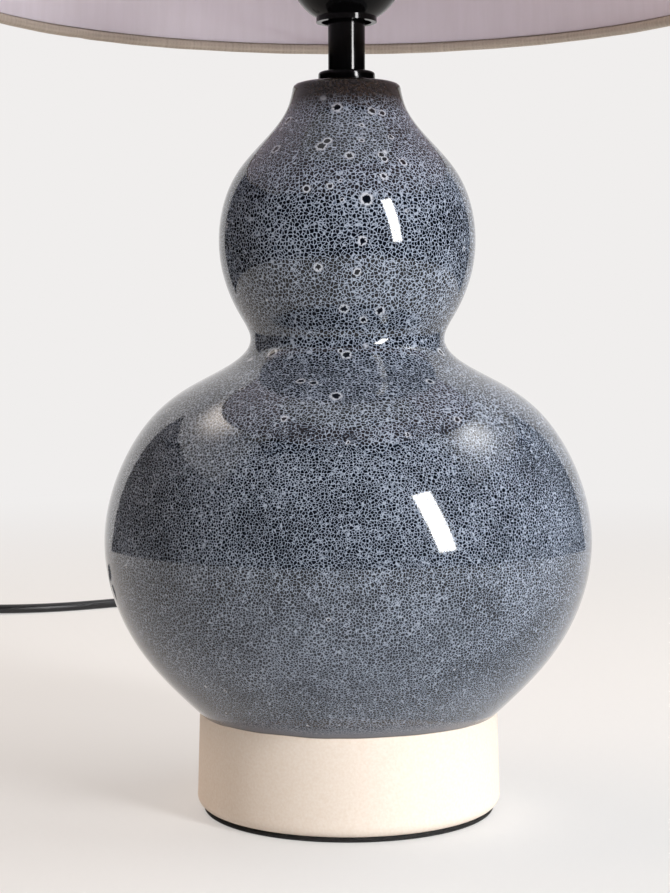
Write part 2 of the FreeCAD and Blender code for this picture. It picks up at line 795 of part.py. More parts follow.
def switch_room(low, high):
    """The room inside one half: its plan less the wall, the end grips and the screw bosses."""
    room = switch_outline(switch_wall, low).extrude(V(0, 0, high - low))
    grip = switch_grip + switch_grip_step
    room = room.common(Part.makeBox(2 * switch_width, switch_length - 2 * grip, high - low,
                                    V(switch_x - switch_width, switch_near_y + grip, low)))
    for x, y in switch_screw_places():
        room = room.cut(Part.makeCylinder(switch_boss_radius, high - low, V(x, y, low)))
    return room


def switch_half(low, high, rim_z, rim_radius):
    """One half before it is hollowed, with round corners and one round rim."""
    half = switch_outline(0, low).extrude(V(0, 0, high - low))
    upright = [e for e in half.Edges if e.BoundBox.XLength < 1e-4 and e.BoundBox.YLength < 1e-4]
    half = half.makeFillet(switch_corner, upright)
    return half.makeFillet(rim_radius, rim_edges(half, rim_z))


def make_switch_base():
    low = switch_lift
    top = low + switch_base_height - seat_gap / 2
    base = switch_half(low, top, low, switch_base_edge)
    base = base.cut(switch_room(low + switch_wall, top))
    for x, y in switch_screw_places():
        gap = switch_screw_side_gap
        base = base.cut(Part.makeCylinder(switch_screw_radius + gap, top - low, V(x, y, low)))
        base = base.cut(Part.makeCylinder(switch_screw_head_radius + gap, switch_screw_sink, V(x, y, low)))
    return base.cut(switch_bores())


def make_switch_cover():
    low = switch_lift + switch_base_height + seat_gap / 2
    top = low + switch_cover_height
    cover = switch_half(low, top, top, switch_cover_edge)
    wide = rocker_width / 2 + rocker_gap
    long = rocker_length / 2 + rocker_gap
    well_low = rocker_axis_z - rocker_well_drop
    well = Part.makeBox(2 * (wide + rocker_well_wall), 2 * (long + rocker_well_wall), top - well_low,
                        V(switch_x - wide - rocker_well_wall, switch_y - long - rocker_well_wall, well_low))
    window = Part.makeBox(2 * wide, 2 * long, 2 * switch_cover_height, V(switch_x - wide, switch_y - long, low))
    pin_reach = wide + rocker_well_wall + seat_gap
    pin_hole = Part.makeCylinder(rocker_pin_radius + rocker_pin_gap, 2 * pin_reach,
                                 V(switch_x - pin_reach, switch_y, rocker_axis_z), V(1, 0, 0))
    cover = cover.cut(switch_room(low, top - switch_wall).cut(well)).cut(window).cut(pin_hole)
    for x, y in switch_screw_places():
        cover = cover.cut(Part.makeCylinder(switch_screw_radius + thread_gap, switch_pilot_depth, V(x, y, low)))
    return cover.cut(switch_bores())


def make_switch_rocker():
    """Dished key on a cross pin, stored tipped to its off side."""
    half = rocker_length / 2
    low = rocker_axis_z - rocker_keel
    top = low + rocker_height
    corner_z = rocker_axis_z - rocker_end_drop
    flat = rocker_keel_share * half
    profile = [V(0, -half, top), V(0, 0, top - rocker_dip), V(0, half, top), V(0, half, corner_z),
               V(0, flat, low), V(0, -flat, low), V(0, -half, corner_z)]
    key = Part.Face(Part.Wire(polyline(profile))).extrude(V(rocker_width, 0, 0))
    key.translate(V(-rocker_width / 2, 0, 0))
    sweep = Part.makeCylinder(half, 2 * rocker_width, V(-rocker_width, 0, rocker_axis_z), V(1, 0, 0))
    pin_length = rocker_width + 2 * (rocker_gap + rocker_pin_reach)
    pin = Part.makeCylinder(rocker_pin_radius, pin_length, V(-pin_length / 2, 0, rocker_axis_z), V(1, 0, 0))
    key = key.common(sweep).fuse(pin).removeSplitter()
    key.rotate(V(0, 0, rocker_axis_z), V(1, 0, 0), -rocker_tilt)
    key.translate(V(switch_x, switch_y, 0))
    return key


def make_switch_contacts():
    """Two brass terminal blocks on the base's floor."""
    width, length = terminal_block_width, terminal_block_length
    floor_z = switch_lift + switch_wall
    blocks = []
    for side in (-1, 1):
        x = switch_x + side * terminal_block_x
        y = switch_y + side * terminal_block_shift - length / 2
        block = Part.makeBox(width, length, terminal_block_height, V(x - width / 2, y, floor_z + seat_gap))
        hole = along_y(terminal_block_bore, y - over, length + 2 * over, x, floor_z + terminal_block_bore_z)
        blocks.append(block.cut(hole))
    return Part.makeCompound(blocks)


def make_switch_screws():
    low = switch_lift + switch_screw_side_gap
    head_height, slot, reach = switch_screw_head_height, switch_screw_slot, switch_screw_slot_length
    screws = []
    for x, y in switch_screw_places():
        head = Part.makeCylinder(switch_screw_head_radius, head_height, V(x, y, low))
        groove = Part.makeBox(reach, slot, slot, V(x - reach / 2, y - slot / 2, low))
        shank_length = switch_screw_length - head_height
        shank = Part.makeCylinder(switch_screw_radius, shank_length, V(x, y, low + head_height))
        screws.append(head.fuse(shank).cut(groove).removeSplitter())
    return Part.makeCompound(screws)


# ---------------------------------------------------------------- plug
def plug_section(y, width, thickness, radius):
    """A rounded rectangle across the plug at one place along it."""
    w, t = width / 2, thickness / 2
    k = radius * (1 - math.cos(math.pi / 4))

    def p(x, z):
        return V(plug_x + x, y, plug_cord_z + z)

    edges = [
        line(p(-w + radius, -t), p(w - radius, -t)),
        arc(p(w - radius, -t), p(w - k, -t + k), p(w, -t + radius)),
        line(p(w, -t + radius), p(w, t - radius)),
        arc(p(w, t - radius), p(w - k, t - k), p(w - radius, t)),
        line(p(w - radius, t), p(-w + radius, t)),
        arc(p(-w + radius, t), p(-w + k, t - k), p(-w, t - radius)),
        line(p(-w, t - radius), p(-w, -t + radius)),
        arc(p(-w, -t + radius), p(-w + k, -t + k), p(-w + radius, -t)),
    ]
    return Part.Wire(edges)


def make_plug():
    """Flat moulded plug: wide face, waisted grip and a ribbed tail for the cord; pins half sleeved."""
    tail_y = plug_y - plug_tail_length
    face_y = tail_y - plug_length
    corner = plug_corner * plug_thickness
    face_corner = corner - plug_face_thinner / 2
    sections = [
        plug_section(face_y, plug_width - plug_face_narrower, plug_thickness - plug_face_thinner, face_corner),
        plug_section(face_y + plug_face_round, plug_width, plug_thickness, corner),
    ]
    for share, width, thinner, less in plug_grip:
        y = face_y + share * plug_length
        sections.append(plug_section(y, width * plug_width, plug_thickness - thinner, corner - less))
    body = Part.makeLoft(sections, True, True)
    root = V(plug_x, tail_y - over, plug_cord_z)
    root_radius, tip_radius = plug_tail_root * cord_radius, plug_tail_tip * cord_radius
    tail = Part.makeCone(root_radius, tip_radius, plug_tail_length + over, root, V(0, 1, 0))
    for k in range(plug_tail_slots):
        y = tail_y + plug_tail_length * (plug_tail_slot_start + plug_tail_slot_step * k)
        outer = along_y(root_radius + over, y, plug_tail_slot_width, plug_x, plug_cord_z)
        kept = along_y(plug_tail_floor * cord_radius, y, plug_tail_slot_width, plug_x, plug_cord_z)
        tail = tail.cut(outer.cut(kept))
    body = body.fuse(tail)
    sleeved = pin_sleeve_length + pin_root_depth
    pins = []
    sleeves = []
    for side in (-1, 1):
        place = V(plug_x + side * pin_spacing / 2, face_y, plug_cord_z)
        root = place + V(0, pin_root_depth, 0)
        ahead = V(0, -1, 0)
        hole_depth = pin_root_depth + seat_gap
        hole = Part.makeCylinder(pin_sleeve_radius + thread_gap, hole_depth, place + V(0, hole_depth, 0), ahead)
        body = body.cut(hole)
        core = Part.makeCylinder(pin_core_radius, sleeved, root, ahead)
        bare_start = place - V(0, pin_sleeve_length, 0)
        bare = Part.makeCylinder(pin_radius, pin_length - pin_sleeve_length, bare_start, ahead)
        ends = [e for e in bare.Edges if abs(e.BoundBox.YMax - (face_y - pin_length)) < 0.01]
        pins.append(core.fuse(bare.makeFillet(pin_tip_round * pin_radius, ends)).removeSplitter())
        sleeve = Part.makeCylinder(pin_sleeve_radius, sleeved - seat_gap, root, ahead)
        bore_radius = pin_core_radius + pin_sleeve_gap
        bore = Part.makeCylinder(bore_radius, sleeved + 2 * over, root + V(0, over, 0), ahead)
        sleeves.append(sleeve.cut(bore))
    return {
        "plug_body": body,
        "plug_pins": Part.makeCompound(pins),
        "plug_sleeves": Part.makeCompound(sleeves),
    }


# ---------------------------------------------------------------- build
os.makedirs("parts", exist_ok=True)

save("ceramic_body", make_ceramic_body())
save("base_pad", make_base_pad())
for name, shape in make_neck_pieces().items():
    save(name, shape)

save("holder_cap", make_holder_cap())
save("cap_grub_screw", make_grub_screw())
save("holder_skirt", make_holder_skirt())
for name, shape in make_holder_inside().items():
    save(name, shape)
save("live_core", make_core(1))
save("neutral_core", make_core(-1))

save("cord_strain_relief", make_strain_relief())
save("cord_stop", make_cord_stop())
save("inner_lead", cord_along("inner_lead", lead_route))
save("cord_from_base", cord_along("cord_from_base", base_route))
save("cord_to_coil", cord_along("cord_to_coil", coil_route))
save("cord_coil", make_coil())
save("cord_tie", make_cord_tie())
save("cord_tail", cord_along("cord_tail", tail_route))
for name, shape in make_plug().items():
    save(name, shape)

save("switch_base", make_switch_base())
save("switch_cover", make_switch_cover())
save("switch_rocker", make_switch_rocker())
save("switch_contacts", make_switch_contacts())
save("switch_screws", make_switch_screws())

save("fitter_hub", tube(hub_radius, hub_bore_radius, seat_z, seat_z + hub_thickness))
save("fitter_arms", Part.makeCompound([arm_tube(angle, arm_radius) for angle in arm_angles]))
save("bottom_wire", make_wire("bottom"))
save("top_wire", make_wire("top"))
save("shade_cover", make_shade_cover())
save("shade_lining", make_shade_lining())
save("shade_clamp_ring", make_clamp_ring())
print(f"seat {seat_z:.1f}, flange {flange_z:.1f}, shell {shell_z:.1f}, collar {collar_bottom_z:.1f}")
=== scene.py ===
# %% [markdown]
# # A double gourd table lamp
# The lamp is a hollow stoneware gourd on a bare foot, a black stem and lampholder, a tapered
# drum shade, and a mains lead with a rocker switch in it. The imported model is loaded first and
# stays as it is: every new piece is made in the same frame, in metres, where the model says.

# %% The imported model
import json
import math
import bmesh
import bpy
import numpy as np
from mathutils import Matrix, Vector


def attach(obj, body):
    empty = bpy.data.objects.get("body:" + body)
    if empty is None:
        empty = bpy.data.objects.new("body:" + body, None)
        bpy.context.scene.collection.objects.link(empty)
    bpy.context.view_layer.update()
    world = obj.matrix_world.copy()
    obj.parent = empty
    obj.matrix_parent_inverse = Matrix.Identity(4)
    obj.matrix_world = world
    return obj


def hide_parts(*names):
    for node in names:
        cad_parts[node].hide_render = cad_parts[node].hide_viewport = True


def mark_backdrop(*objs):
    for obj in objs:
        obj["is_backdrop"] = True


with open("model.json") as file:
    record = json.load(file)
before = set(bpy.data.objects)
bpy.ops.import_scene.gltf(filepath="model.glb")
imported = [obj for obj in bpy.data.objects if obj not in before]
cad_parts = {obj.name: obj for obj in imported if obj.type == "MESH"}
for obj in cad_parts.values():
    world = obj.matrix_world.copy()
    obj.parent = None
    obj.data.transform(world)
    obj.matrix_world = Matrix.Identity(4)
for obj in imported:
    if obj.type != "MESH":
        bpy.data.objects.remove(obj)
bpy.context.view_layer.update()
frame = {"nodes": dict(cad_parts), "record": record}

MM = 0.001

# %% [markdown]
# ## The camera
# The photograph was taken with a long lens at about the height of the gourd's waist, tipped a
# little down. The place and the lens were worked out from the curves of the pad, the glaze
# line and the shade's rim, which are circles on the real lamp. It is made first, because it
# decides how much of the lead is seen.

# %% Camera
PHOTO_HEIGHT = 893            # pixels
FOCAL_LENGTH = 1900.0         # in the same pixels
SENSOR = 36.0                 # millimetres, for the photograph's longer side
LOOKING_DOWN, LEANING = 0.0593, 0.0034    # radians

camera_data = bpy.data.cameras.new("camera")
camera_data.sensor_fit = "AUTO"
camera_data.sensor_width = SENSOR
camera_data.lens = FOCAL_LENGTH / PHOTO_HEIGHT * SENSOR
camera_data.clip_start, camera_data.clip_end = 0.01, 60.0
camera = bpy.data.objects.new("camera", camera_data)
camera.location = (-0.0052, -0.798, 0.2001)
camera.rotation_mode = "XYZ"
camera.rotation_euler = (math.radians(90) - LOOKING_DOWN, LEANING, 0.0)
bpy.context.scene.collection.objects.link(camera)
bpy.context.scene.camera = camera
bpy.context.scene.view_settings.view_transform = "Standard"
print("camera lens", round(camera_data.lens, 1), "mm")

# %% [markdown]
# ## Helpers for shapes
# Most pieces of a lamp are turned: a profile swept round the stem. Two functions are enough.
# One turns a grid of points into a mesh of quads, and one spins a profile into such a grid.
# The grid's seam and poles are welded afterwards, so that each piece is closed, and an edge
# stays crisp where two faces meet at more than 38 degrees.

# %% A mesh from a grid of points
WELD = 2e-6                   # metres: points nearer than this are one point
CRISP = math.radians(38)


def surface(name, grid, slot=None, uv=None):
    """Mesh from a rows x columns x 3 array: a quad between each four neighbouring points, seams
    welded. Without a slot it belongs to the surroundings."""
    rows, columns = grid.shape[:2]
    index = np.arange(rows * columns).reshape(rows, columns)
    quads = np.stack([index[:-1, :-1], index[:-1, 1:], index[1:, 1:], index[1:, :-1]], axis=-1)
    quads = quads.reshape(-1, 4)
    mesh = bpy.data.meshes.new(name)
    mesh.from_pydata(grid.reshape(-1, 3).tolist(), [], quads.tolist())
    if uv is not None:
        layer = mesh.uv_layers.new(name="cloth")
        layer.data.foreach_set("uv", uv.reshape(-1, 2)[quads.ravel()].ravel().astype(np.float32))
    work = bmesh.new()
    work.from_mesh(mesh)
    bmesh.ops.remove_doubles(work, verts=work.verts, dist=WELD)
    bmesh.ops.dissolve_degenerate(work, edges=work.edges, dist=WELD / 20)
    bmesh.ops.recalc_face_normals(work, faces=work.faces)
    work.to_mesh(mesh)
    work.free()
    mesh.shade_smooth()
    mesh.set_sharp_from_angle(angle=CRISP)
    piece = bpy.data.objects.new(name, mesh)
    bpy.context.scene.collection.objects.link(piece)
    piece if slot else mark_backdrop(piece)
    print(name, len(mesh.polygons), "faces")
    return piece


# %% Turned grids, round corners and directions
def spun(profile, columns=192):
    """A profile of (radius, height) pairs turned once round the Z axis: (r cos a, r sin a, z)."""
    profile = np.asarray(profile, float)
    angle = np.linspace(0, 2 * np.pi, columns + 1)
    radius, height = profile[:, :1], profile[:, 1:]
    return np.stack([radius * np.cos(angle), radius * np.sin(angle), height + 0 * angle], axis=-1)


def bend(centre, radius, start, end, count=7):
    """A round corner in a profile: centre plus radius times (cos, sin), from start to end degrees."""
    angle = np.radians(np.linspace(start, end, count))
    return np.stack([centre[0] + radius * np.cos(angle), centre[1] + radius * np.sin(angle)], axis=-1)


def direction(azimuth, elevation):
    """Unit vectors (sin a cos e, -cos a cos e, sin e): azimuth from the camera's side towards the
    right, elevation over the floor, both in degrees, as numbers or arrays."""
    a, e = np.broadcast_arrays(np.radians(azimuth), np.radians(elevation))
    return np.stack([np.sin(a) * np.cos(e), -np.cos(a) * np.cos(e), np.sin(e)], axis=-1)


print("straight ahead is", direction(0, 0).round(3).tolist(), "and one column turns", 360 / 192, "degrees")

# %% [markdown]
# A potter's outline has no corners, so the gourd's points are joined by a natural cubic
# spline: between two points it is a cubic, and slope and curvature agree where two cubics
# meet. Writing that down for all points gives one set of linear equations.

# %% A smooth line through points
def spline_through(points, count):
    """Natural cubic spline through points, by chord length: the second derivatives come from one
    solve, and each span is the cubic that has its ends' places and second derivatives."""
    points = np.asarray(points, float)
    step = np.linalg.norm(np.diff(points, axis=0), axis=1)
    size = len(points)
    system = np.eye(size)
    right = np.zeros((size, 2))
    inner = np.arange(1, size - 1)
    system[inner, inner - 1] = step[:-1]
    system[inner, inner] = 2 * (step[:-1] + step[1:])
    system[inner, inner + 1] = step[1:]
    slope = np.diff(points, axis=0) / step[:, None]
    right[1:-1] = 6 * np.diff(slope, axis=0)
    second = np.linalg.solve(system, right)
    knots = np.concatenate([[0], np.cumsum(step)])
    t = np.linspace(0, knots[-1], count)
    k = np.clip(np.searchsorted(knots, t, side="right") - 1, 0, size - 2)
    h, a, b = step[k][:, None], (knots[k + 1] - t)[:, None], (t - knots[k])[:, None]
    near = points[k] / h - second[k] * h / 6
    far = points[k + 1] / h - second[k + 1] * h / 6
    return (second[k] * a**3 + second[k + 1] * b**3) / (6 * h) + near * a + far * b


print("a line through 3 points", spline_through([(0, 0), (1, 1), (2, 0)], 5).round(2).tolist())

# %% [markdown]
# ## Helpers for finishes
# Every finish is worked out by nodes, from where a point lies on the piece. Colours are
# written as a designer reads them, in hex, and one function turns them into the linear values
# that light adds up in. One more function adds a node with its inputs and settings. Sizes of
# patterns are given in millimetres of the real lamp.

# %% Colours, sizes and nodes
def hex_colour(text):
    """sRGB hex to linear RGBA: c/12.92 below 0.04045, ((c + 0.055)/1.055)^2.4 above."""
    value = np.array([int(text[i:i + 2], 16) for i in (0, 2, 4)]) / 255
    linear = np.where(value <= 0.04045, value / 12.92, ((value + 0.055) / 1.055) ** 2.4)
    return (*linear.tolist(), 1.0)


def blobs(size):
    """Scale of a noise whose blobs are size millimetres across: its lengths are metres, so 1000 / size."""
    return 1 / (size * MM)


def add(tree, kind, inputs=None, stops=(), **settings):
    """Adds a node. inputs maps a socket's name or number to a value or to another node's output;
    stops are a colour ramp's pairs of a position and a hex colour or grey level; what comes back is
    the node's live outputs by name."""
    item = tree.nodes.new("ShaderNode" + kind)
    for key, value in settings.items():
        setattr(item, key, value)
    for key, value in (inputs or {}).items():
        named = (s for s in item.inputs if s.name == key and s.enabled)
        socket = item.inputs[key] if isinstance(key, int) else next(named)
        if isinstance(value, bpy.types.NodeSocket):
            tree.links.new(value, socket)
        else:
            socket.default_value = value
    for k, (position, tone) in enumerate(stops):
        table = item.color_ramp.elements
        stop = table[k] if k < len(table) else table.new(1.0)
        stop.position = position
        stop.color = hex_colour(tone) if isinstance(tone, str) else (tone, tone, tone, 1.0)
    return {socket.name: socket for socket in item.outputs if socket.enabled}


print("mid grey is", round(hex_colour("808080")[0], 3), "in linear light")


# %% Materials
def finish_named(name):
    """An empty material: its node tree, its shader and the point's place on the piece."""
    material = bpy.data.materials.new(name)
    material.use_nodes = True
    tree = material.node_tree
    shader = tree.nodes["Principled BSDF"]
    place = add(tree, "TexCoord")["Object"]
    return material, tree, shader, place


def wear(piece, material):
    """Puts a material on a piece, in place of what it had."""
    piece.data.materials.clear()
    piece.data.materials.append(material)


print("materials before:", len(bpy.data.materials))

# %% [markdown]
# ## The lead
# A table lamp has about 1.8 m of round black lead. It leaves the foot at the back through a
# ribbed relief, drops to the table, goes into the inline switch, comes round behind the lamp
# and crosses the picture's left edge, and its spare length is wound up in a tied coil. A
# curve made of a few given points has the long soft bends of real cable; following every
# arc of a model would look like bent wire.

# %% The lead's way
base_points = [
    (0.0, 0.0944, 0.016), (0.0, 0.122, 0.016), (0.003, 0.160, 0.006), (0.012, 0.205, 0.00325),
    (0.022, 0.250, 0.00325), (0.026, 0.288, 0.0065), (0.026, 0.317, 0.0065),
]
loop_points = [
    (0.026, 0.369, 0.0065), (0.026, 0.399, 0.0065), (0.032, 0.440, 0.00325), (0.050, 0.490, 0.00325),
    (0.064, 0.548, 0.00325), (0.052, 0.606, 0.00325), (0.010, 0.644, 0.00325), (-0.047, 0.650, 0.00325),
    (-0.105, 0.630, 0.00325), (-0.158, 0.594, 0.00325), (-0.212, 0.562, 0.00325), (-0.266, 0.552, 0.0041),
    (-0.3136, 0.552, 0.0041),
]
tail_points = [
    (-0.3136, 0.468, 0.0111), (-0.290, 0.468, 0.0111), (-0.268, 0.456, 0.010), (-0.257, 0.435, 0.008),
    (-0.257, 0.412, 0.00695),
]
print("lead points by hand:", len(base_points) + len(loop_points) + len(tail_points))

# %% [markdown]
# The coil is wound as a hand winds it: three and a half turns in two layers, each half turn
# half a pitch further in than the last, and then back out on top. A quadratic spline passes
# inside control points on a circle, at (6 + 2 cos)/8 of their radius, where the angle is the
# one between two points, so they are set further out by the inverse of that.

# %% The coil's points
COIL_CENTRE = (-0.320, 0.5135)
COIL_RADIUS, COIL_PITCH, COIL_LOW = 0.0385, 0.007, 0.0041
STEPS = 6                                              # points in a half turn
OUT = 8 / (6 + 2 * math.cos(math.pi / STEPS))


def coil_points():
    """Seven half turns, each an arc of radius r: centre + OUT r (cos a, sin a). The first three
    step inwards, the fourth climbs to the upper layer, and the last three go back out."""
    inward = [(COIL_RADIUS - k * COIL_PITCH / 2, (k % 2) * -COIL_PITCH / 2) for k in range(3)]
    turns = inward + [(COIL_RADIUS - 1.5 * COIL_PITCH, -COIL_PITCH / 2)]
    turns += [(radius, -COIL_PITCH - shift) for radius, shift in inward[::-1]]
    share = (np.arange(STEPS) + 0.5) / STEPS
    arcs = []
    for k, (radius, shift) in enumerate(turns):
        angle = math.pi / 2 + math.pi * (k + share)
        rise = 0 * share if k < 3 else share if k == 3 else 0 * share + 1
        arcs.append(np.stack([COIL_CENTRE[0] + OUT * radius * np.cos(angle),
                              COIL_CENTRE[1] + shift + OUT * radius * np.sin(angle),
                              COIL_LOW + COIL_PITCH * rise], axis=-1))
    return np.concatenate(arcs).tolist()


print("coil points", len(coil_points()), "and each stands", round(OUT, 3), "times as far out")

# %% The lead as one smooth curve
CORD_DIAMETER = 0.0064
route = base_points + loop_points + coil_points() + tail_points
curve = bpy.data.curves.new("cord", "CURVE")
curve.dimensions = "3D"
spline = curve.splines.new("NURBS")
spline.points.add(len(route) - 1)
spline.points.foreach_set("co", np.column_stack([route, np.ones(len(route))]).ravel())
spline.order_u = 3
spline.use_endpoint_u = True
spline.resolution_u = 8
curve.bevel_depth = CORD_DIAMETER / 2
curve.bevel_resolution = 5
curve.use_fill_caps = True
cord = bpy.data.objects.new("cord", curve)
bpy.context.scene.collection.objects.link(cord)
print("cord", len(route), "points")

# %% [markdown]
# The sheath is soft PVC drawn through a die while hot. It cools to a satin black that waves
# very slightly, and the waves break up the long highlight that runs along the lead. One
# noise of 6 mm drives both the gloss and the relief, because on the real sheath both come
# from the same waves.

# %% Black cable sheath
cord_pvc, tree, shader, place = finish_named("extruded_black_pvc")
ripple = add(tree, "TexNoise", {"Vector": place, "Scale": blobs(6.25), "Detail": 3.0})
shader.inputs["Base Color"].default_value = hex_colour("17171a")
roughness = add(tree, "MapRange", {"Value": ripple["Fac"], "To Min": 0.28, "To Max": 0.42})
tree.links.new(roughness["Result"], shader.inputs["Roughness"])
relief = add(tree, "Bump", {"Height": ripple["Fac"], "Strength": 0.15, "Distance": 0.3 * MM})
tree.links.new(relief["Normal"], shader.inputs["Normal"])
wear(cord, cord_pvc)
print("sheath", len(tree.nodes), "nodes")

# %% [markdown]
# ## The strap round the coil
# A shop ties a coil with a short woven strap, 8 mm wide. It could be a bent box, but a strap
# has round edges and lies flat round what it holds. So a small section, a flat bar with round
# ends, is carried round a rectangle with round corners, in the plane across the coil.

# %% Strap round the coil
def strap_way(x0, x1, z0, z1, corner, spacing):
    """A rectangle with round corners: four arcs joined by straight runs, cut into equal steps."""
    centres = ((x1 - corner, z1 - corner), (x0 + corner, z1 - corner),
               (x0 + corner, z0 + corner), (x1 - corner, z0 + corner))
    arcs = [bend(centre, corner, 90 * k, 90 * k + 90, 9) for k, centre in enumerate(centres)]
    way = np.concatenate(arcs + [arcs[0][:1]])
    steps = np.maximum(2, (np.linalg.norm(np.diff(way, axis=0), axis=1) / spacing).astype(int))
    run = np.repeat(np.arange(len(steps)), steps)
    share = (np.arange(steps.sum()) - np.repeat(np.cumsum(steps) - steps, steps)) / steps[run]
    return np.concatenate([way[run] + (way[run + 1] - way[run]) * share[:, None], way[-1:]])


def strap_grid(way, middle_y, width, thickness):
    """A flat section carried along the way: the way's point, plus its outward normal times the
    section's height, with the section's width across, along Y."""
    along = np.gradient(way, axis=0)
    along[0] = along[-1] = way[1] - way[-2]
    out = np.stack([along[:, 1], -along[:, 0]], axis=-1) / np.linalg.norm(along, axis=1)[:, None]
    out *= np.sign(np.sum(out * (way - (way.min(axis=0) + way.max(axis=0)) / 2), axis=1))[:, None]
    edge = thickness / 2
    section = np.concatenate([bend((width / 2 - edge, 0), edge, -90, 90, 7),
                              bend((edge - width / 2, 0), edge, 90, 270, 7)])
    section = np.concatenate([section, section[:1]])
    across, lift = section[:, 0], section[:, 1]
    x = way[:, 0:1] + out[:, 0:1] * lift
    z = way[:, 1:2] + out[:, 1:2] * lift
    return np.stack([x, middle_y + across + 0 * x, z], axis=-1) * MM


strap_line = strap_way(-362.2, -347.0, 0.4, 14.8, corner=2.8, spacing=0.8)
strap = surface("coil_strap", strap_grid(strap_line, 510.0, width=8.0, thickness=0.6), "tie_strap")
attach(strap, "base")
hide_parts("cord_tie")

# %% [markdown]
# ## The gourd
# The body is slip cast in one piece, so it is one surface: the outside of both gourds, the
# rounded crest of the neck, the shelf that the stem is clamped to, the inside, and the bare
# foot. The outline is set by a dozen points on two ellipses and runs through them as one
# smooth curve, the way a thrower's profile does; spinning it costs one line.

# %% Outline of the two gourds
def ellipse_points(radius, half_height, centre, degrees):
    """(radius cos d, centre + half height sin d)"""
    angle = np.radians(degrees)
    return np.stack([radius * np.cos(angle), centre + half_height * np.sin(angle)], axis=-1).tolist()


def gourd_side(inset):
    """The points up the side of both gourds, the whole outline moved inwards by inset."""
    points = ellipse_points(102.0 - inset, 93.1 - inset, 116.5, (-52, -30))
    points += ellipse_points(102.0 - inset, 81.0 - inset, 116.5, (0, 28, 50))
    points += [[40.8 - inset, 199.4]]
    points += ellipse_points(53.6 - inset, 55.6 - inset, 238.2, (-33, 0, 30, 52))
    return points + [[24.0 - inset, 295.5], [22.6 - inset, 300.8]]


GLAZE_LINE = 41.8             # millimetres over the table
WALL = 5.0
outside = [[62.8, GLAZE_LINE]] + gourd_side(0)[1:]
outside_curve = spline_through(outside, 260)
print("widest", round(2 * outside_curve[:, 0].max(), 1), "mm")

# %% [markdown]
# The profile runs once round the wall of the pot: from the hole in the neck over the crest,
# down the outside, round the foot's rim, and up the inside back to the hole.

# %% The pot
seat = [[5.8, 296.6], [5.8, 304.6], [11.2, 304.6], [11.6, 304.3]]
neck_roll = [[15.2, 304.2], [17.9, 304.1], [20.0, 303.8], [21.3, 303.4], [22.1, 302.7], [22.5, 301.8],
             [22.6, 300.8]]
foot_side = np.linspace([62.9, 40.0], [63.9, 7.5], 8)
inside = gourd_side(WALL)[:-2] + [[18.5, 294.6]]
profile = np.concatenate([
    seat, neck_roll, outside_curve[::-1][1:], foot_side,
    bend((59.5, 6.5), 4.5, 0, -90, 9),
    [[57.0, 2.0], [57.0, 38.2]],
    spline_through(inside, 60),
    [[17.0, 296.6], seat[0]],
])
gourd = surface("gourd", spun(profile * MM, 280), "glazed_stoneware")
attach(gourd, "base")
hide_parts("ceramic_body")

# %% [markdown]
# ### The glaze
# An oil-spot glaze boils while it is hot: bubbles of iron burst and heal into small dark
# pools, with the paler glaze drawn into a lace between them. A pattern of cells is the same
# thing in maths: each point belongs to the nearest of many scattered centres, and the lace is
# where two centres are equally near. The pools wander a little, so the lattice is pushed
# about by a noise first.

# %% Lace and pools
CELL = 1.45 * MM              # spacing of the small dark pools near the neck and the waist
SMALL_CELL = 1.14 * MM        # and lower down, where the glaze is thicker
glazed, tree, shader, place = finish_named("oil_spot_glazed_stoneware")
height = add(tree, "SeparateXYZ", {"Vector": place})["Z"]
drift = add(tree, "TexNoise", {"Vector": place, "Scale": blobs(2.381), "Detail": 2.0})
centred = add(tree, "VectorMath", {0: drift["Color"], 1: (0.5, 0.5, 0.5)}, operation="SUBTRACT")
pushed = add(tree, "VectorMath", {0: centred["Vector"], 1: (CELL * 0.9,) * 3}, operation="MULTIPLY")
wandering = add(tree, "VectorMath", {0: place, 1: pushed["Vector"]}, operation="ADD")["Vector"]
lace = [add(tree, "TexVoronoi", {"Vector": wandering, "Scale": 1 / size, "Randomness": 0.9},
            feature="DISTANCE_TO_EDGE")["Distance"] for size in (SMALL_CELL, CELL)]
# the pools change size at a height of 160 mm or so, within 20 mm up or down
uneven = add(tree, "TexNoise", {"Vector": place, "Scale": blobs(16.67), "Detail": 2.0})
uneven = add(tree, "Math", {0: uneven["Fac"], 1: 40 * MM, 2: height}, operation="MULTIPLY_ADD")
coarse = add(tree, "MapRange", {"Value": uneven["Value"], "From Min": 180 * MM, "From Max": 184 * MM})
lace = add(tree, "Mix", {"Factor": coarse["Result"], "A": lace[0], "B": lace[1]})
print("pools", CELL / MM, "mm apart over the waist and", SMALL_CELL / MM, "mm under it")

# %% [markdown]
# In some patches the lace is thick and pale, and in others the pools run together, so a noise
# of 22 mm sets the width of the lace. Lower down the glaze ran thicker, and the lace gets
# softer towards the foot.

# %% Colours of lace and pools
patch = add(tree, "TexNoise", {"Vector": place, "Scale": blobs(22.22), "Detail": 3.0, "Roughness": 0.6})
width = add(tree, "MapRange", {"Value": patch["Fac"], "From Min": 0.34, "From Max": 0.66,
                               "To Min": 0.11, "To Max": 0.215})
dark = add(tree, "Math", {0: lace["Result"], 1: width["Result"]}, operation="DIVIDE")
fine = add(tree, "ValToRGB", {"Fac": dark["Value"]},
           stops=[(0.20, "9da6b5"), (0.50, "4e5a6c"), (0.85, "0d1420"), (1.0, "060a12")])["Color"]
low_mix = add(tree, "MapRange", {"Value": height, "From Min": 0.050, "From Max": 0.150,
                                 "To Min": 0.26, "To Max": 0.0})
soft_colour = add(tree, "Mix", {"Factor": low_mix["Result"], "A": fine, "B": hex_colour("3c4553")},
                  data_type="RGBA")
print("glaze so far", len(tree.nodes), "nodes")

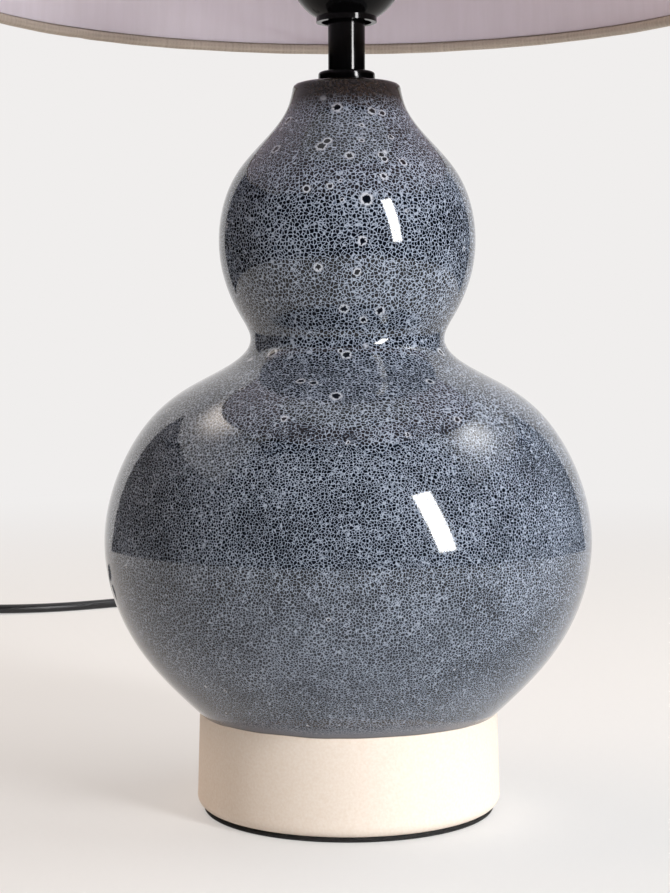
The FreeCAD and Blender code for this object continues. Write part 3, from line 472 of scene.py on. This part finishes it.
# %% [markdown]
# ### Big bubbles
# A few bubbles were bigger and left a round pool with a white halo, most of them near the neck
# and round the waist. A second, coarse pattern of cells has one candidate in each, and its
# random colour is its lot: with the chance of its height added, it decides how big the bubble
# was, down to none.

# %% Scattered big bubbles
SPOT = 8.0 * MM               # spacing of the places where a big bubble may burst
LIKELIER = 0.45               # what the neck and the waist add to the chance
burst = add(tree, "TexVoronoi", {"Vector": wandering, "Scale": 1 / SPOT, "Randomness": 1.0}, feature="F1")
lot = add(tree, "SeparateColor", {"Color": burst["Color"]})
zone_neck = add(tree, "MapRange", {"Value": height, "From Min": 0.215, "From Max": 0.280,
                                   "To Min": 0.0, "To Max": LIKELIER})
near_waist = add(tree, "Math", {0: height, 1: 0.190}, operation="SUBTRACT")
near_waist = add(tree, "Math", {0: near_waist["Value"]}, operation="ABSOLUTE")
zone_waist = add(tree, "MapRange", {"Value": near_waist["Value"], "From Min": 0.004, "From Max": 0.035,
                                    "To Min": LIKELIER, "To Max": 0.0})
zone = add(tree, "Math", {0: zone_neck["Result"], 1: zone_waist["Result"]}, operation="MAXIMUM")
chance = add(tree, "Math", {0: lot["Red"], 1: zone["Value"]}, operation="ADD")
radius = add(tree, "MapRange", {"Value": chance["Value"], "From Min": 0.72, "From Max": 1.45,
                                "To Min": 0.02, "To Max": 0.34})
reach = add(tree, "Math", {0: burst["Distance"], 1: radius["Result"]}, operation="DIVIDE")["Value"]
print("candidates", SPOT / MM, "mm apart")

# %% [markdown]
# The biggest ones are what the eye finds first, so they stand where they burst on the real
# pot. Each is a distance from its centre, measured from a point that a fine noise has pushed
# about, which makes the halo ragged. The value reach is 1 at the edge of the nearest halo.

# %% The biggest bubbles
BURSTS = [                     # seen from the front: azimuth in degrees, height and halo radius in mm
    (8, 252.6, 3.3), (-15, 274.4, 3.0), (-46, 274.4, 2.6), (1, 270.4, 2.4), (18, 270.6, 2.0),
    (29, 278.6, 1.8), (17, 261.9, 2.0), (29, 268.4, 1.8), (-8, 257.8, 1.8), (6, 236.2, 2.2),
    (-13, 226.2, 2.2), (4, 224.2, 2.0), (-2, 209.8, 2.4), (16, 209.0, 2.4), (8, 205.5, 2.0),
    (-9, 291.3, 2.7), (22, 289.7, 2.3), (31, 289.1, 2.1), (-57, 287.3, 2.5), (-45, 192.4, 2.8),
    (-1, 191.7, 2.6), (-4, 176.2, 3.1), (-18, 181.7, 2.3), (-13, 181.0, 2.3), (62, 192.5, 2.5),
    (-18, 168.0, 1.9), (31, 167.2, 1.9), (15, 162.2, 1.5),
]
RAGGED = 1.9 * MM             # how far the noise pushes a point, from one end to the other
spikes = add(tree, "TexNoise", {"Vector": place, "Scale": blobs(0.9091), "Detail": 1.0})
centred = add(tree, "VectorMath", {0: spikes["Color"], 1: (0.5, 0.5, 0.5)}, operation="SUBTRACT")
pushed = add(tree, "VectorMath", {0: centred["Vector"], 1: (RAGGED,) * 3}, operation="MULTIPLY")
ragged = add(tree, "VectorMath", {0: place, 1: pushed["Vector"]}, operation="ADD")["Vector"]
for azimuth, up, size in BURSTS:
    out = outside_curve[np.argmin(np.abs(outside_curve[:, 1] - up)), 0]
    centre = (direction(azimuth, 0) * out + (0, 0, up)) * MM
    apart = add(tree, "VectorMath", {0: ragged, 1: centre.tolist()}, operation="DISTANCE")
    apart = add(tree, "Math", {0: apart["Value"], 1: size * MM}, operation="DIVIDE")
    reach = add(tree, "Math", {0: reach, 1: apart["Value"]}, operation="MINIMUM")["Value"]
print("bubbles set by hand:", len(BURSTS))

# %% Colours of the bubbles
halo = add(tree, "ValToRGB", {"Fac": reach}, stops=[(0.0, 1.0), (0.66, 1.0), (1.0, 0.0)])["Color"]
spot_colour = add(tree, "ValToRGB", {"Fac": reach},
                  stops=[(0.0, "070a11"), (0.50, "0d121c"), (0.60, "c3c8d2"), (0.9, "a5abb8")])["Color"]
spotted = add(tree, "Mix", {"Factor": halo, "A": soft_colour["Result"], "B": spot_colour}, data_type="RGBA")
print("glaze with bubbles", len(tree.nodes), "nodes")

# %% [markdown]
# ### Crest and foot
# On the crest of the neck the glaze ran thin, and the iron body shows through it in brown
# flecks. At the bottom the potter wiped the foot bare, up to a line that wavers by about a
# millimetre and has a thin brown edge, with a paler bead of glaze over it.

# %% Crest of the neck
crest = add(tree, "MapRange", {"Value": height, "From Min": 0.2900, "From Max": 0.2975,
                               "To Min": 0.0, "To Max": 0.97})
crest_colour = add(tree, "ValToRGB", {"Fac": spikes["Fac"]},
                   stops=[(0.42, "030202"), (0.66, "2b2016")])["Color"]
necked = add(tree, "Mix", {"Factor": crest["Result"], "A": spotted["Result"], "B": crest_colour},
             data_type="RGBA")
print("crest from 290 mm up")

# %% Glaze line and bare foot
swing = add(tree, "TexNoise", {"Vector": place, "Scale": blobs(41.67), "Detail": 2.0})
line_height = add(tree, "MapRange", {"Value": swing["Fac"], "From Min": 0.2, "From Max": 0.8,
                                     "To Min": (GLAZE_LINE - 0.6) * MM, "To Max": (GLAZE_LINE + 0.8) * MM})
above = add(tree, "Math", {0: height, 1: line_height["Result"]}, operation="SUBTRACT")
above = add(tree, "MapRange", {"Value": above["Value"], "From Min": -MM, "From Max": 6 * MM})["Result"]
band = add(tree, "ValToRGB", {"Fac": above}, stops=[(0.125, 0.0), (0.16, 1.0)])["Color"]
band_colour = add(tree, "ValToRGB", {"Fac": above},
                  stops=[(0.14, "43342d"), (0.24, "62666f"), (0.6, "666c79"), (1.0, "566070")])["Color"]
band_fade = add(tree, "ValToRGB", {"Fac": above}, stops=[(0.30, 1.0), (1.0, 0.0)])["Color"]
pooled = add(tree, "Mix", {"Factor": band_fade, "A": necked["Result"], "B": band_colour}, data_type="RGBA")
grain = add(tree, "TexNoise", {"Vector": place, "Scale": blobs(1.111), "Detail": 4.0})
bisque = add(tree, "ValToRGB", {"Fac": grain["Fac"]}, stops=[(0.3, "e8dacc"), (0.7, "efe4d9")])["Color"]
coloured = add(tree, "Mix", {"Factor": band, "A": bisque, "B": pooled["Result"]}, data_type="RGBA")
tree.links.new(coloured["Result"], shader.inputs["Base Color"])
print("glaze line at", GLAZE_LINE, "mm")

# %% [markdown]
# Gloss tells the two surfaces apart as much as colour does: the glaze is a sheet of glass,
# with a sharp highlight, while the bare clay is matt and has a fine tooth that only a bump
# can give. The crest is a little duller than the rest of the glaze.

# %% Gloss of the glaze, tooth of the clay
GLAZE_ROUGH, CLAY_ROUGH, CREST_DULL = 0.06, 0.62, 0.06
GLAZE_IOR = 1.43              # a little under window glass, since the pitted skin mirrors less
gloss = add(tree, "MapRange", {"Value": band, "To Min": CLAY_ROUGH, "To Max": GLAZE_ROUGH})
dull = add(tree, "Math", {0: crest["Result"], 1: CREST_DULL, 2: gloss["Result"]}, operation="MULTIPLY_ADD")
tree.links.new(dull["Value"], shader.inputs["Roughness"])
shader.inputs["IOR"].default_value = GLAZE_IOR
bare = add(tree, "Math", {0: 1.0, 1: band}, operation="SUBTRACT")
tooth = add(tree, "Math", {0: grain["Fac"], 1: bare["Value"]}, operation="MULTIPLY")
texture = add(tree, "Bump", {"Height": tooth["Value"], "Strength": 0.2, "Distance": 0.2 * MM})
tree.links.new(texture["Normal"], shader.inputs["Normal"])
wear(gourd, glazed)
print("glaze", len(tree.nodes), "nodes")

# %% [markdown]
# ## The pad
# A thin black foam ring is glued under the foot so that the lamp doesn't scratch a table. It is
# squeezed a little by the lamp's weight, so its edge bulges. A plain disc would do for its
# shape, but the bulge is what catches the light, so its profile ends in a half circle. Foam
# is matt, and its cut cells show as fine pits, drawn at 0.7 mm, each a little darker towards
# its bottom as painted shade.

# %% Foam pad
pad_profile = np.concatenate([[[0.0, 0.0], [60.4, 0.0]], bend((60.3, 1.0), 1.0, -90, 90, 9),
                              [[60.3, 2.0], [0.0, 2.0]]])
pad = surface("foam_pad", spun(pad_profile * MM), "pad_foam")
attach(pad, "base")
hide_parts("base_pad")

# %% Black foam
foam, tree, shader, place = finish_named("black_eva_foam")
pores = add(tree, "TexVoronoi", {"Vector": place, "Scale": blobs(0.7143)}, feature="F1")
# painted shade: each pit's colour darkens towards its bottom, where the bump is deepest
pit_shade_tone = add(tree, "ValToRGB", {"Fac": pores["Distance"]}, stops=[(0.1, "0c0c0c"), (0.6, "1d1c1c")])["Color"]
tree.links.new(pit_shade_tone, shader.inputs["Base Color"])
shader.inputs["Roughness"].default_value = 0.85
relief = add(tree, "Bump", {"Height": pores["Distance"], "Strength": 0.3, "Distance": 0.2 * MM})
tree.links.new(relief["Normal"], shader.inputs["Normal"])
wear(pad, foam)
print("foam", len(tree.nodes), "nodes")

# %% [markdown]
# ## Stem and lampholder
# The washer and the tube over the threaded rod are steel with black stove enamel. The cap of
# the lampholder is moulded in black phenolic resin, which comes out of its mould as glossy as
# lacquer. Both are near black, so the eye reads them by their highlights alone: the skin is
# smooth, with a wave of about a centimetre that bends a highlight's edge.

# %% Black gloss finishes
def gloss_black(name, colour, rough, wave):
    """Lacquer or moulded resin: near black, glossy, with a very slight unevenness in its skin."""
    material, tree, shader, place = finish_named(name)
    skin = add(tree, "TexNoise", {"Vector": place, "Scale": blobs(wave), "Detail": 2.0})
    tone = add(tree, "ValToRGB", {"Fac": skin["Fac"]}, stops=[(0.3, colour), (0.7, "070708")])["Color"]
    tree.links.new(tone, shader.inputs["Base Color"])
    shader.inputs["Specular IOR Level"].default_value = 0.10
    level = add(tree, "MapRange", {"Value": skin["Fac"], "To Min": rough * 0.7, "To Max": rough * 1.3})
    tree.links.new(level["Result"], shader.inputs["Roughness"])
    relief = add(tree, "Bump", {"Height": skin["Fac"], "Strength": 0.04, "Distance": 0.4 * MM})
    tree.links.new(relief["Normal"], shader.inputs["Normal"])
    return material


enamel = gloss_black("black_stove_enamel", "030303", rough=0.12, wave=8.333)
phenolic = gloss_black("moulded_black_phenolic", "040404", rough=0.10, wave=11.11)
print("black finishes", enamel.name, phenolic.name)

# %% [markdown]
# The washer is pressed from sheet, so its upper edge is rounded and its lower edge turns down
# over the gasket. The tube is cut from stock and has only its burr taken off. A highlight
# shows every edge of a black piece, so both are turned from profiles with those edges in.

# %% Washer and tube
washer_profile = np.concatenate([
    [[5.4, 305.6], [11.45, 305.6], [11.45, 304.5]], bend((11.6, 304.5), 0.2, -180, 0, 7),
    bend((10.6, 307.4), 1.2, 0, 90, 7), [[5.4, 308.6], [5.4, 305.6]],
])
tube_profile = np.array([[5.4, 308.6], [7.5, 308.6], [7.7, 308.8], [7.7, 330.0], [7.5, 330.2], [5.4, 330.2],
                         [5.4, 308.6]])
washer = surface("neck_washer_enamelled", spun(washer_profile * MM), "black_enamel")
sleeve = surface("stem_tube", spun(tube_profile * MM, 96), "black_enamel")
for piece, node in ((washer, "neck_washer"), (sleeve, "stem_sleeve")):
    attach(piece, "base")
    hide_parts(node)
    wear(piece, enamel)

# %% [markdown]
# ## The shade
# The shade is linen stuck on a stiff clear film and rolled round two wire rings. What the
# photograph shows is its far inside wall, lilac grey with the weave showing through, and the
# rolled linen of its lower edge. The cover is one sheet: a frustum whose ends turn in round
# the wires. A modifier gives it its thickness, half to each side.

# %% Cover and rolled edges
BOTTOM, TOP = (175.5, 341.2), (158.0, 551.2)    # outer radius and height of each edge, millimetres
ROLL = 2.4                                      # radius of the linen over a wire
CLOTH = 0.8                                     # linen and film together
MIDDLE = 0.1665                                 # metres, the radius that the sheet is cut to


def shade_profile():
    """Round the bottom wire, up the wall and round the top wire, half a cloth inside the outer face."""
    mid = ROLL - CLOTH / 2
    under = bend((BOTTOM[0] - ROLL, BOTTOM[1] + ROLL), mid, -230, 0, 22)
    over = bend((TOP[0] - ROLL, TOP[1] - ROLL), mid, 0, 230, 22)
    wall = np.linspace(under[-1], over[0], 62)[1:-1]
    return np.concatenate([under, wall, over])


line = shade_profile() * MM
turns = 480
grid = spun(line, turns)
angle = np.linspace(0, 2 * np.pi, turns + 1)
print("shade profile", len(line), "points")

# %% [markdown]
# Glue and folds leave the rolled edge a little lumpy, so its height follows a sum of three
# waves round the shade, and three short bumps where the linen is folded over its own end.
# The sheet's own coordinates are metres along its girth and metres up its profile.

# %% Lumps in the hem, and the cloth's coordinates
HEM_ENDS, HEM_FADES = 0.3465, 0.003             # metres: the lumps end at this height, fading over this
LUMP = 0.35 * MM
rolled = np.clip((HEM_ENDS - grid[..., 2]) / HEM_FADES, 0, 1)
lumps = 0.16 * np.sin(7 * angle + 1) + 0.12 * np.sin(17 * angle) + 0.10 * np.sin(41 * angle + 2)
for where, size in ((157, 0.9), (161, 0.7), (137, 0.8)):
    lumps += size * np.exp(-((np.degrees(angle) - where) / 1.1) ** 2)
grid[..., 2] += rolled * lumps * LUMP
length = np.concatenate([[0], np.cumsum(np.linalg.norm(np.diff(line, axis=0), axis=1))])
cover_uv = np.stack(np.broadcast_arrays(angle[None, :] * MIDDLE, length[:, None]), axis=-1)
cover = surface("shade_linen_cover", grid, "shade_linen", uv=cover_uv)
thick = cover.modifiers.new("cloth", "SOLIDIFY")
thick.thickness, thick.offset = CLOTH * MM, 0.0
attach(cover, "shade")
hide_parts("shade_cover")
print("cover cut", round(2 * math.pi * MIDDLE, 3), "x", round(float(length[-1]), 3), "m")

# %% [markdown]
# ### Linen
# Linen is flax in a plain weave: one set of threads goes up the shade and one goes round it,
# and where a thread lies on top it catches the light. Two sets of bands and the higher of the
# two at each point give that. Flax yarn is thick in some places and thin in others, and these
# slubs show as short pale and dark streaks that run with the threads, so their noise is drawn
# out twenty to one, once each way.

# %% Linen weave
THREAD = 0.9 * MM              # linen this coarse has about eleven threads to the centimetre
linen, tree, shader, place = finish_named("greige_linen")
cloth = add(tree, "UVMap", uv_map="cloth")["UV"]
bands = {"Vector": cloth, "Scale": math.pi / 20 / THREAD, "Distortion": 2.0, "Detail": 2.0,
         "Detail Scale": 1.5}
across, along = [add(tree, "TexWave", bands, bands_direction=way) for way in "XY"]
weave = add(tree, "Math", {0: across["Fac"], 1: along["Fac"]}, operation="MAXIMUM")["Value"]
body = add(tree, "ValToRGB", {"Fac": weave}, stops=[(0.2, "a99d91"), (0.9, "b9ada0")])["Color"]
slubs = []
for squeeze in ((1.0, 0.05, 1.0), (0.05, 1.0, 1.0)):
    yarn = add(tree, "Mapping", {"Vector": cloth, "Scale": squeeze})["Vector"]
    slubs.append(add(tree, "TexNoise", {"Vector": yarn, "Scale": blobs(1.613), "Detail": 3.0})["Fac"])
slub = add(tree, "Math", {0: slubs[0], 1: slubs[1]}, operation="ADD")
slub = add(tree, "Math", {0: slub["Value"], 1: 0.5}, operation="MULTIPLY")
tint = add(tree, "ValToRGB", {"Fac": slub["Value"]}, stops=[(0.36, "998d80"), (0.64, "c9beb2")])["Color"]
colour = add(tree, "Mix", {"Factor": 0.5, "A": body, "B": tint}, data_type="RGBA")
tree.links.new(colour["Result"], shader.inputs["Base Color"])
shader.inputs["Roughness"].default_value = 0.85
relief = add(tree, "Bump", {"Height": weave, "Strength": 0.15, "Distance": 0.2 * MM})
tree.links.new(relief["Normal"], shader.inputs["Normal"])
wear(cover, linen)
print("linen", len(tree.nodes), "nodes")

# %% [markdown]
# ### Lining
# Behind the linen is the film that makes it stiff, laminated to it under heat. It has a low
# sheen, and the threads behind it show as faint upright streaks: a noise of 4 mm, drawn out
# along the height by reading the height at a twelfth of its size.

# %% Lining
lining, tree, shader, place = finish_named("laminated_film_lining")
drawn = add(tree, "Mapping", {"Vector": place, "Scale": (1.0, 1.0, 0.08)})
streak = add(tree, "TexNoise", {"Vector": drawn["Vector"], "Scale": blobs(3.846), "Detail": 4.0})
film = add(tree, "ValToRGB", {"Fac": streak["Fac"]}, stops=[(0.3, "dfd8e1"), (0.7, "e4dde7")])["Color"]
tree.links.new(film, shader.inputs["Base Color"])
shader.inputs["Roughness"].default_value = 0.5
print("lining", len(tree.nodes), "nodes")

# %% [markdown]
# ## Floor
# The lamp stands on pale paper that runs on behind it. Paper lit to white would need far more
# light than suits the lamp, so part of its brightness is its own, and more and more of it
# away from the lamp. Only the camera and reflections see that part, and the shadow stays.

# %% Floor
BACKDROP = "f0eeed"


def seen_directly(tree):
    """1 for rays from the camera and from reflections and glass, 0 for light bounced off matt surfaces."""
    ray = add(tree, "LightPath")
    shown = add(tree, "Math", {0: ray["Is Camera Ray"], 1: ray["Is Glossy Ray"]}, operation="MAXIMUM")
    return add(tree, "Math", {0: shown["Value"], 1: ray["Is Transmission Ray"]}, operation="MAXIMUM")["Value"]


paper, tree, shader, place = finish_named("pale_paper_sweep")
away = add(tree, "VectorMath", {0: place}, operation="LENGTH")
far = add(tree, "MapRange", {"Value": away["Value"], "From Min": 0.3, "From Max": 1.6, "To Min": 0.42},
          interpolation_type="SMOOTHSTEP")
mix = add(tree, "Math", {0: far["Result"], 1: seen_directly(tree)}, operation="MULTIPLY")
glow = add(tree, "Emission", {"Color": hex_colour(BACKDROP), "Strength": 1.0})
shader.inputs["Base Color"].default_value = hex_colour("eaeaea")
shader.inputs["Roughness"].default_value = 0.9
shader.inputs["Specular IOR Level"].default_value = 0.2
blend = add(tree, "MixShader", {0: mix["Value"], 1: shader.outputs["BSDF"], 2: glow["Emission"]})
tree.links.new(blend["Shader"], tree.nodes["Material Output"].inputs["Surface"])
HALF = 14.0                    # metres from the lamp to the floor's edge
floor = surface("floor", np.array([[(-HALF, -HALF, 0), (HALF, -HALF, 0)],
                                   [(-HALF, HALF, 0), (HALF, HALF, 0)]]))
wear(floor, paper)

# %% [markdown]
# ## Room
# The same paper colour fills the background. What lights the lamp from all round is darker
# and warmer, as the room behind the lamps is.

# %% World
world = bpy.data.worlds.new("studio")
bpy.context.scene.world = world
world.use_nodes = True
tree = world.node_tree
seen = add(tree, "Mix", {"Factor": seen_directly(tree), "A": hex_colour("807b74"), "B": hex_colour(BACKDROP)},
           data_type="RGBA")
tree.links.new(seen["Result"], tree.nodes["Background"].inputs["Color"])
print("world", len(tree.nodes), "nodes")

# %% [markdown]
# ## Light
# The bright shapes in the glaze give the lamps away: a tall narrow softbox about 42 degrees to
# the right of the camera, and two larger ones high up at the sides, whose reflections the
# shade's rim cuts off. The lamps themselves only give light. What the glaze reflects of them
# is drawn in the next step, where its edges can be set.

# %% Lamps
LAMP_AIM = (0, 0, 0.17)


def softbox(name, aim, azimuth, elevation, away, width, height, radiance, colour="ffffff"):
    """A rectangle of light facing aim; its power is radiance times pi times its area."""
    back = Vector(direction(azimuth, elevation))
    data = bpy.data.lights.new(name, "AREA")
    data.shape = "RECTANGLE"
    data.size, data.size_y = width, height
    data.energy = radiance * math.pi * width * height
    data.color = hex_colour(colour)[:3]
    lamp = bpy.data.objects.new(name, data)
    lamp.rotation_mode = "QUATERNION"
    lamp.rotation_quaternion = back.to_track_quat("Z", "Y")
    lamp.location = Vector(aim) + back * away
    bpy.context.scene.collection.objects.link(lamp)
    print(name, round(data.energy, 1), "W")
    return lamp


for lamp in (softbox("strip_softbox", LAMP_AIM, 42, 16, 1.7, 0.30, 1.0, 28.0),
             softbox("right_softbox", LAMP_AIM, 97, 48, 1.8, 1.9, 0.95, 3.45),
             softbox("left_softbox", LAMP_AIM, -115, 50, 1.8, 2.1, 0.95, 2.75, colour="ffe4ce")):
    lamp.visible_glossy = False

# %% [markdown]
# A softbox in a reflection is a card with a bright middle. Each card here is stretched between
# four directions that were read back from the outlines of the highlights, and only
# reflections see it. Towards its edge it gets clear as well as dark, as the cloth of a softbox
# does where its lamp doesn't reach.

# %% Cards that only reflections see
def reflections_only(piece):
    """Hides a piece from everything but glossy rays."""
    piece.visible_camera = piece.visible_diffuse = piece.visible_shadow = piece.visible_transmission = False


def card(name, corners, away, radiance, colour="ffffff", soft=0.0):
    """A surface between four directions, low left, low right, high left and high right, at one
    distance: across it u and v run from 0 to 1 and blend the corners' angles. The light falls off
    over the outer share that soft gives."""
    side = np.linspace(0, 1, 13)
    u, v = np.meshgrid(side, side)
    low_left, low_right, high_left, high_right = np.array(corners, float)
    across, up = u[..., None], v[..., None]
    low = (1 - across) * low_left + across * low_right
    high = (1 - across) * high_left + across * high_right
    way = (1 - up) * low + up * high
    grid = np.array(LAMP_AIM) + direction(way[..., 0], way[..., 1]) * away
    glow, tree, shader, place = finish_named(name + "_glow")
    uv = add(tree, "UVMap", uv_map="cloth")["UV"]
    centred = add(tree, "VectorMath", {0: uv, 1: (0.5, 0.5, 0.0)}, operation="DISTANCE")
    start, end = (0.5 - 0.5 * soft, 0.5) if soft else (5.0, 6.0)
    level = add(tree, "MapRange", {"Value": centred["Value"], "From Min": start, "From Max": end,
                                   "To Min": radiance, "To Max": 0.0}, interpolation_type="SMOOTHSTEP")
    light = add(tree, "Emission", {"Color": hex_colour(colour), "Strength": level["Result"]})
    clear = add(tree, "BsdfTransparent")
    share = add(tree, "Math", {0: level["Result"], 1: radiance}, operation="DIVIDE")
    blend = add(tree, "MixShader", {0: share["Value"], 1: clear["BSDF"], 2: light["Emission"]})
    tree.links.new(blend["Shader"], tree.nodes["Material Output"].inputs["Surface"])
    piece = surface(name, grid, uv=np.stack([u, v], axis=-1))
    wear(piece, glow)
    reflections_only(piece)


card("strip_card", ((40.0, 0.0), (48.0, 0.8), (32.0, 31.5), (42.0, 32.5)), 1.7, 40.0)
card("right_card", ((60, 30), (130, 30), (60, 62), (130, 62)), 1.8, 8.6, soft=0.9)
card("left_card", ((-165, 31), (-74, 31), (-165, 68), (-74, 68)), 1.8, 6.6, colour="fff4ea", soft=0.9)

# %% [markdown]
# The line down the stem comes from a narrow lamp under the shade. It would throw light on the
# lining too, which the photograph doesn't have, so it is linked to the black pieces alone.

# %% The line on the stem
stem_lamp = softbox("stem_line", (0, 0, 0.330), 37, 4, 0.12, 0.020, 0.060, 82.0)
stem_lamp.visible_diffuse = stem_lamp.visible_camera = False
black_pieces = bpy.data.collections.new("black_pieces")
for piece in (washer, sleeve, frame["nodes"]["holder_cap"]):
    black_pieces.objects.link(piece)
stem_lamp.light_linking.receiver_collection = black_pieces

# %% [markdown]
# ## Dark room
# Round the pale table the room was dark. The glaze shows it as the dark between the
# highlights, with the table's edge as a soft line round the widest part of each gourd. A dark
# sheet standing round the lamp, lower at the sides, and a dark ring on the ground paint that
# shade into reflections alone.

# %% Dark room, for reflections only
# painted shade: a near-black sheet that stands for the unlit room, seen only in reflections
unlit_room_shade, tree, shader, place = finish_named("painted_room_shade")
shader.inputs["Base Color"].default_value = hex_colour("1c1c1f")
shader.inputs["Roughness"].default_value = 1.0
shader.inputs["Specular IOR Level"].default_value = 0.0
TABLE_EDGE, WALL_AT = 0.95, 2.6                  # metres from the lamp
TALL, LOW, TALL_WITHIN = 7.0, 1.75, 70           # the wall's heights, and where it is tall, in degrees
azimuth = np.linspace(-140, 140, 57)
ahead = direction(azimuth, 0)[:, :2]
top = np.where(np.abs(azimuth) < TALL_WITHIN, TALL, LOW)
walls = np.stack([np.column_stack([WALL_AT * ahead, z]) for z in (0 * top, top)])
ground = np.stack([np.column_stack([r * ahead, 0 * top + 4 * MM]) for r in (TABLE_EDGE, WALL_AT)])
for name, grid in (("dark_wall", walls), ("dark_ground", ground)):
    piece = surface(name, grid)
    wear(piece, unlit_room_shade)
    reflections_only(piece)

# %% [markdown]
# ## Finishes of the other pieces
# The fitter, the inside of the lampholder, the switch and the plug keep the model's own
# shapes. Each gets the finish of its real material: its colour, its gloss and a grain of the
# size that plating, moulding or weaving leaves. The grain is under a millimetre on most of
# them, so it is drawn about ten times as coarse as it is, to show at all.

# %% One function for the other finishes
def plain_finish(name, colour, rough, metallic, grain_size=1.111):
    """A material of one colour, clouded a little towards grey and varied in gloss by a fine noise."""
    material, tree, shader, place = finish_named(name)
    grain = add(tree, "TexNoise", {"Vector": place, "Scale": blobs(grain_size), "Detail": 4.0})
    tone = add(tree, "Mix", {"Factor": grain["Fac"], "A": hex_colour(colour), "B": hex_colour("8a8a86")},
               data_type="RGBA")
    fade = add(tree, "Mix", {"Factor": 0.25, "A": hex_colour(colour), "B": tone["Result"]}, data_type="RGBA")
    tree.links.new(fade["Result"], shader.inputs["Base Color"])
    level = add(tree, "MapRange", {"Value": grain["Fac"], "To Min": rough * 0.7, "To Max": rough * 1.3})
    tree.links.new(level["Result"], shader.inputs["Roughness"])
    shader.inputs["Metallic"].default_value = metallic
    return material


# zinc plating on steel fasteners: cool grey with a soft, cloudy shine
zinc = plain_finish("zinc_plated_steel", "b8b8b4", 0.35, 1.0)
# nickel over brass, on the screw shell and the pins: a warm silver, close to a mirror
nickel = plain_finish("nickel_plated_brass", "d0cabd", 0.22, 1.0)
# bare brass springs and contacts: yellow, with the mill's fine haze
brass = plain_finish("bare_brass", "c9a24a", 0.30, 1.0)
# powder coat on the fitter's wires: a satin white skin with a slight orange peel
white_wire = plain_finish("white_powder_coat", "e9e7e2", 0.45, 0.0)
# steatite, the insulating block: fired and unglazed, chalky white
porcelain = plain_finish("unglazed_steatite", "e6e1d6", 0.5, 0.0)
# rubber gasket: black and quite matt
rubber = plain_finish("black_rubber", "141414", 0.8, 0.0)
# PVC and nylon from a spark-eroded mould, on the plug and the switch: a fine even texture
moulded = plain_finish("moulded_black_pvc", "151517", 0.45, 0.0, grain_size=0.6667)
# the two cores' sheaths: smooth PVC in the usual brown and blue
core_brown = plain_finish("brown_core_sheath", "5a3018", 0.4, 0.0)
core_blue = plain_finish("blue_core_sheath", "1f5fa8", 0.4, 0.0)
# the strap: woven polyester, matt black with a fuzz that hides the threads
strap_weave = plain_finish("woven_black_strap", "131313", 0.9, 0.0)
wear(strap, strap_weave)
print("materials", len(bpy.data.materials))

# %% Which node wears what
worn = {
    "zinc_steel": zinc, "nickel_brass": nickel, "brass": brass, "white_wire": white_wire,
    "porcelain": porcelain, "gasket_rubber": rubber, "plug_pvc": moulded, "switch_plastic": moulded,
    "rocker_plastic": moulded, "sleeve_plastic": moulded, "core_brown": core_brown,
    "core_blue": core_blue, "tie_strap": strap_weave,
    "cord_pvc": cord_pvc, "pad_foam": foam, "black_enamel": enamel, "black_phenolic": phenolic,
    "glazed_stoneware": glazed, "shade_lining": lining, "shade_linen": linen,
}
for part in frame["record"]["subparts"]:
    wear(frame["nodes"][part["node"]], worn[part["material_slot"]])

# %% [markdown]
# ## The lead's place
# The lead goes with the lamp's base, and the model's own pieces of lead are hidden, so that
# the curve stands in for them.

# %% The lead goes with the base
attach(cord, "base")
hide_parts("cord_from_base", "cord_to_coil", "cord_coil", "cord_tail")
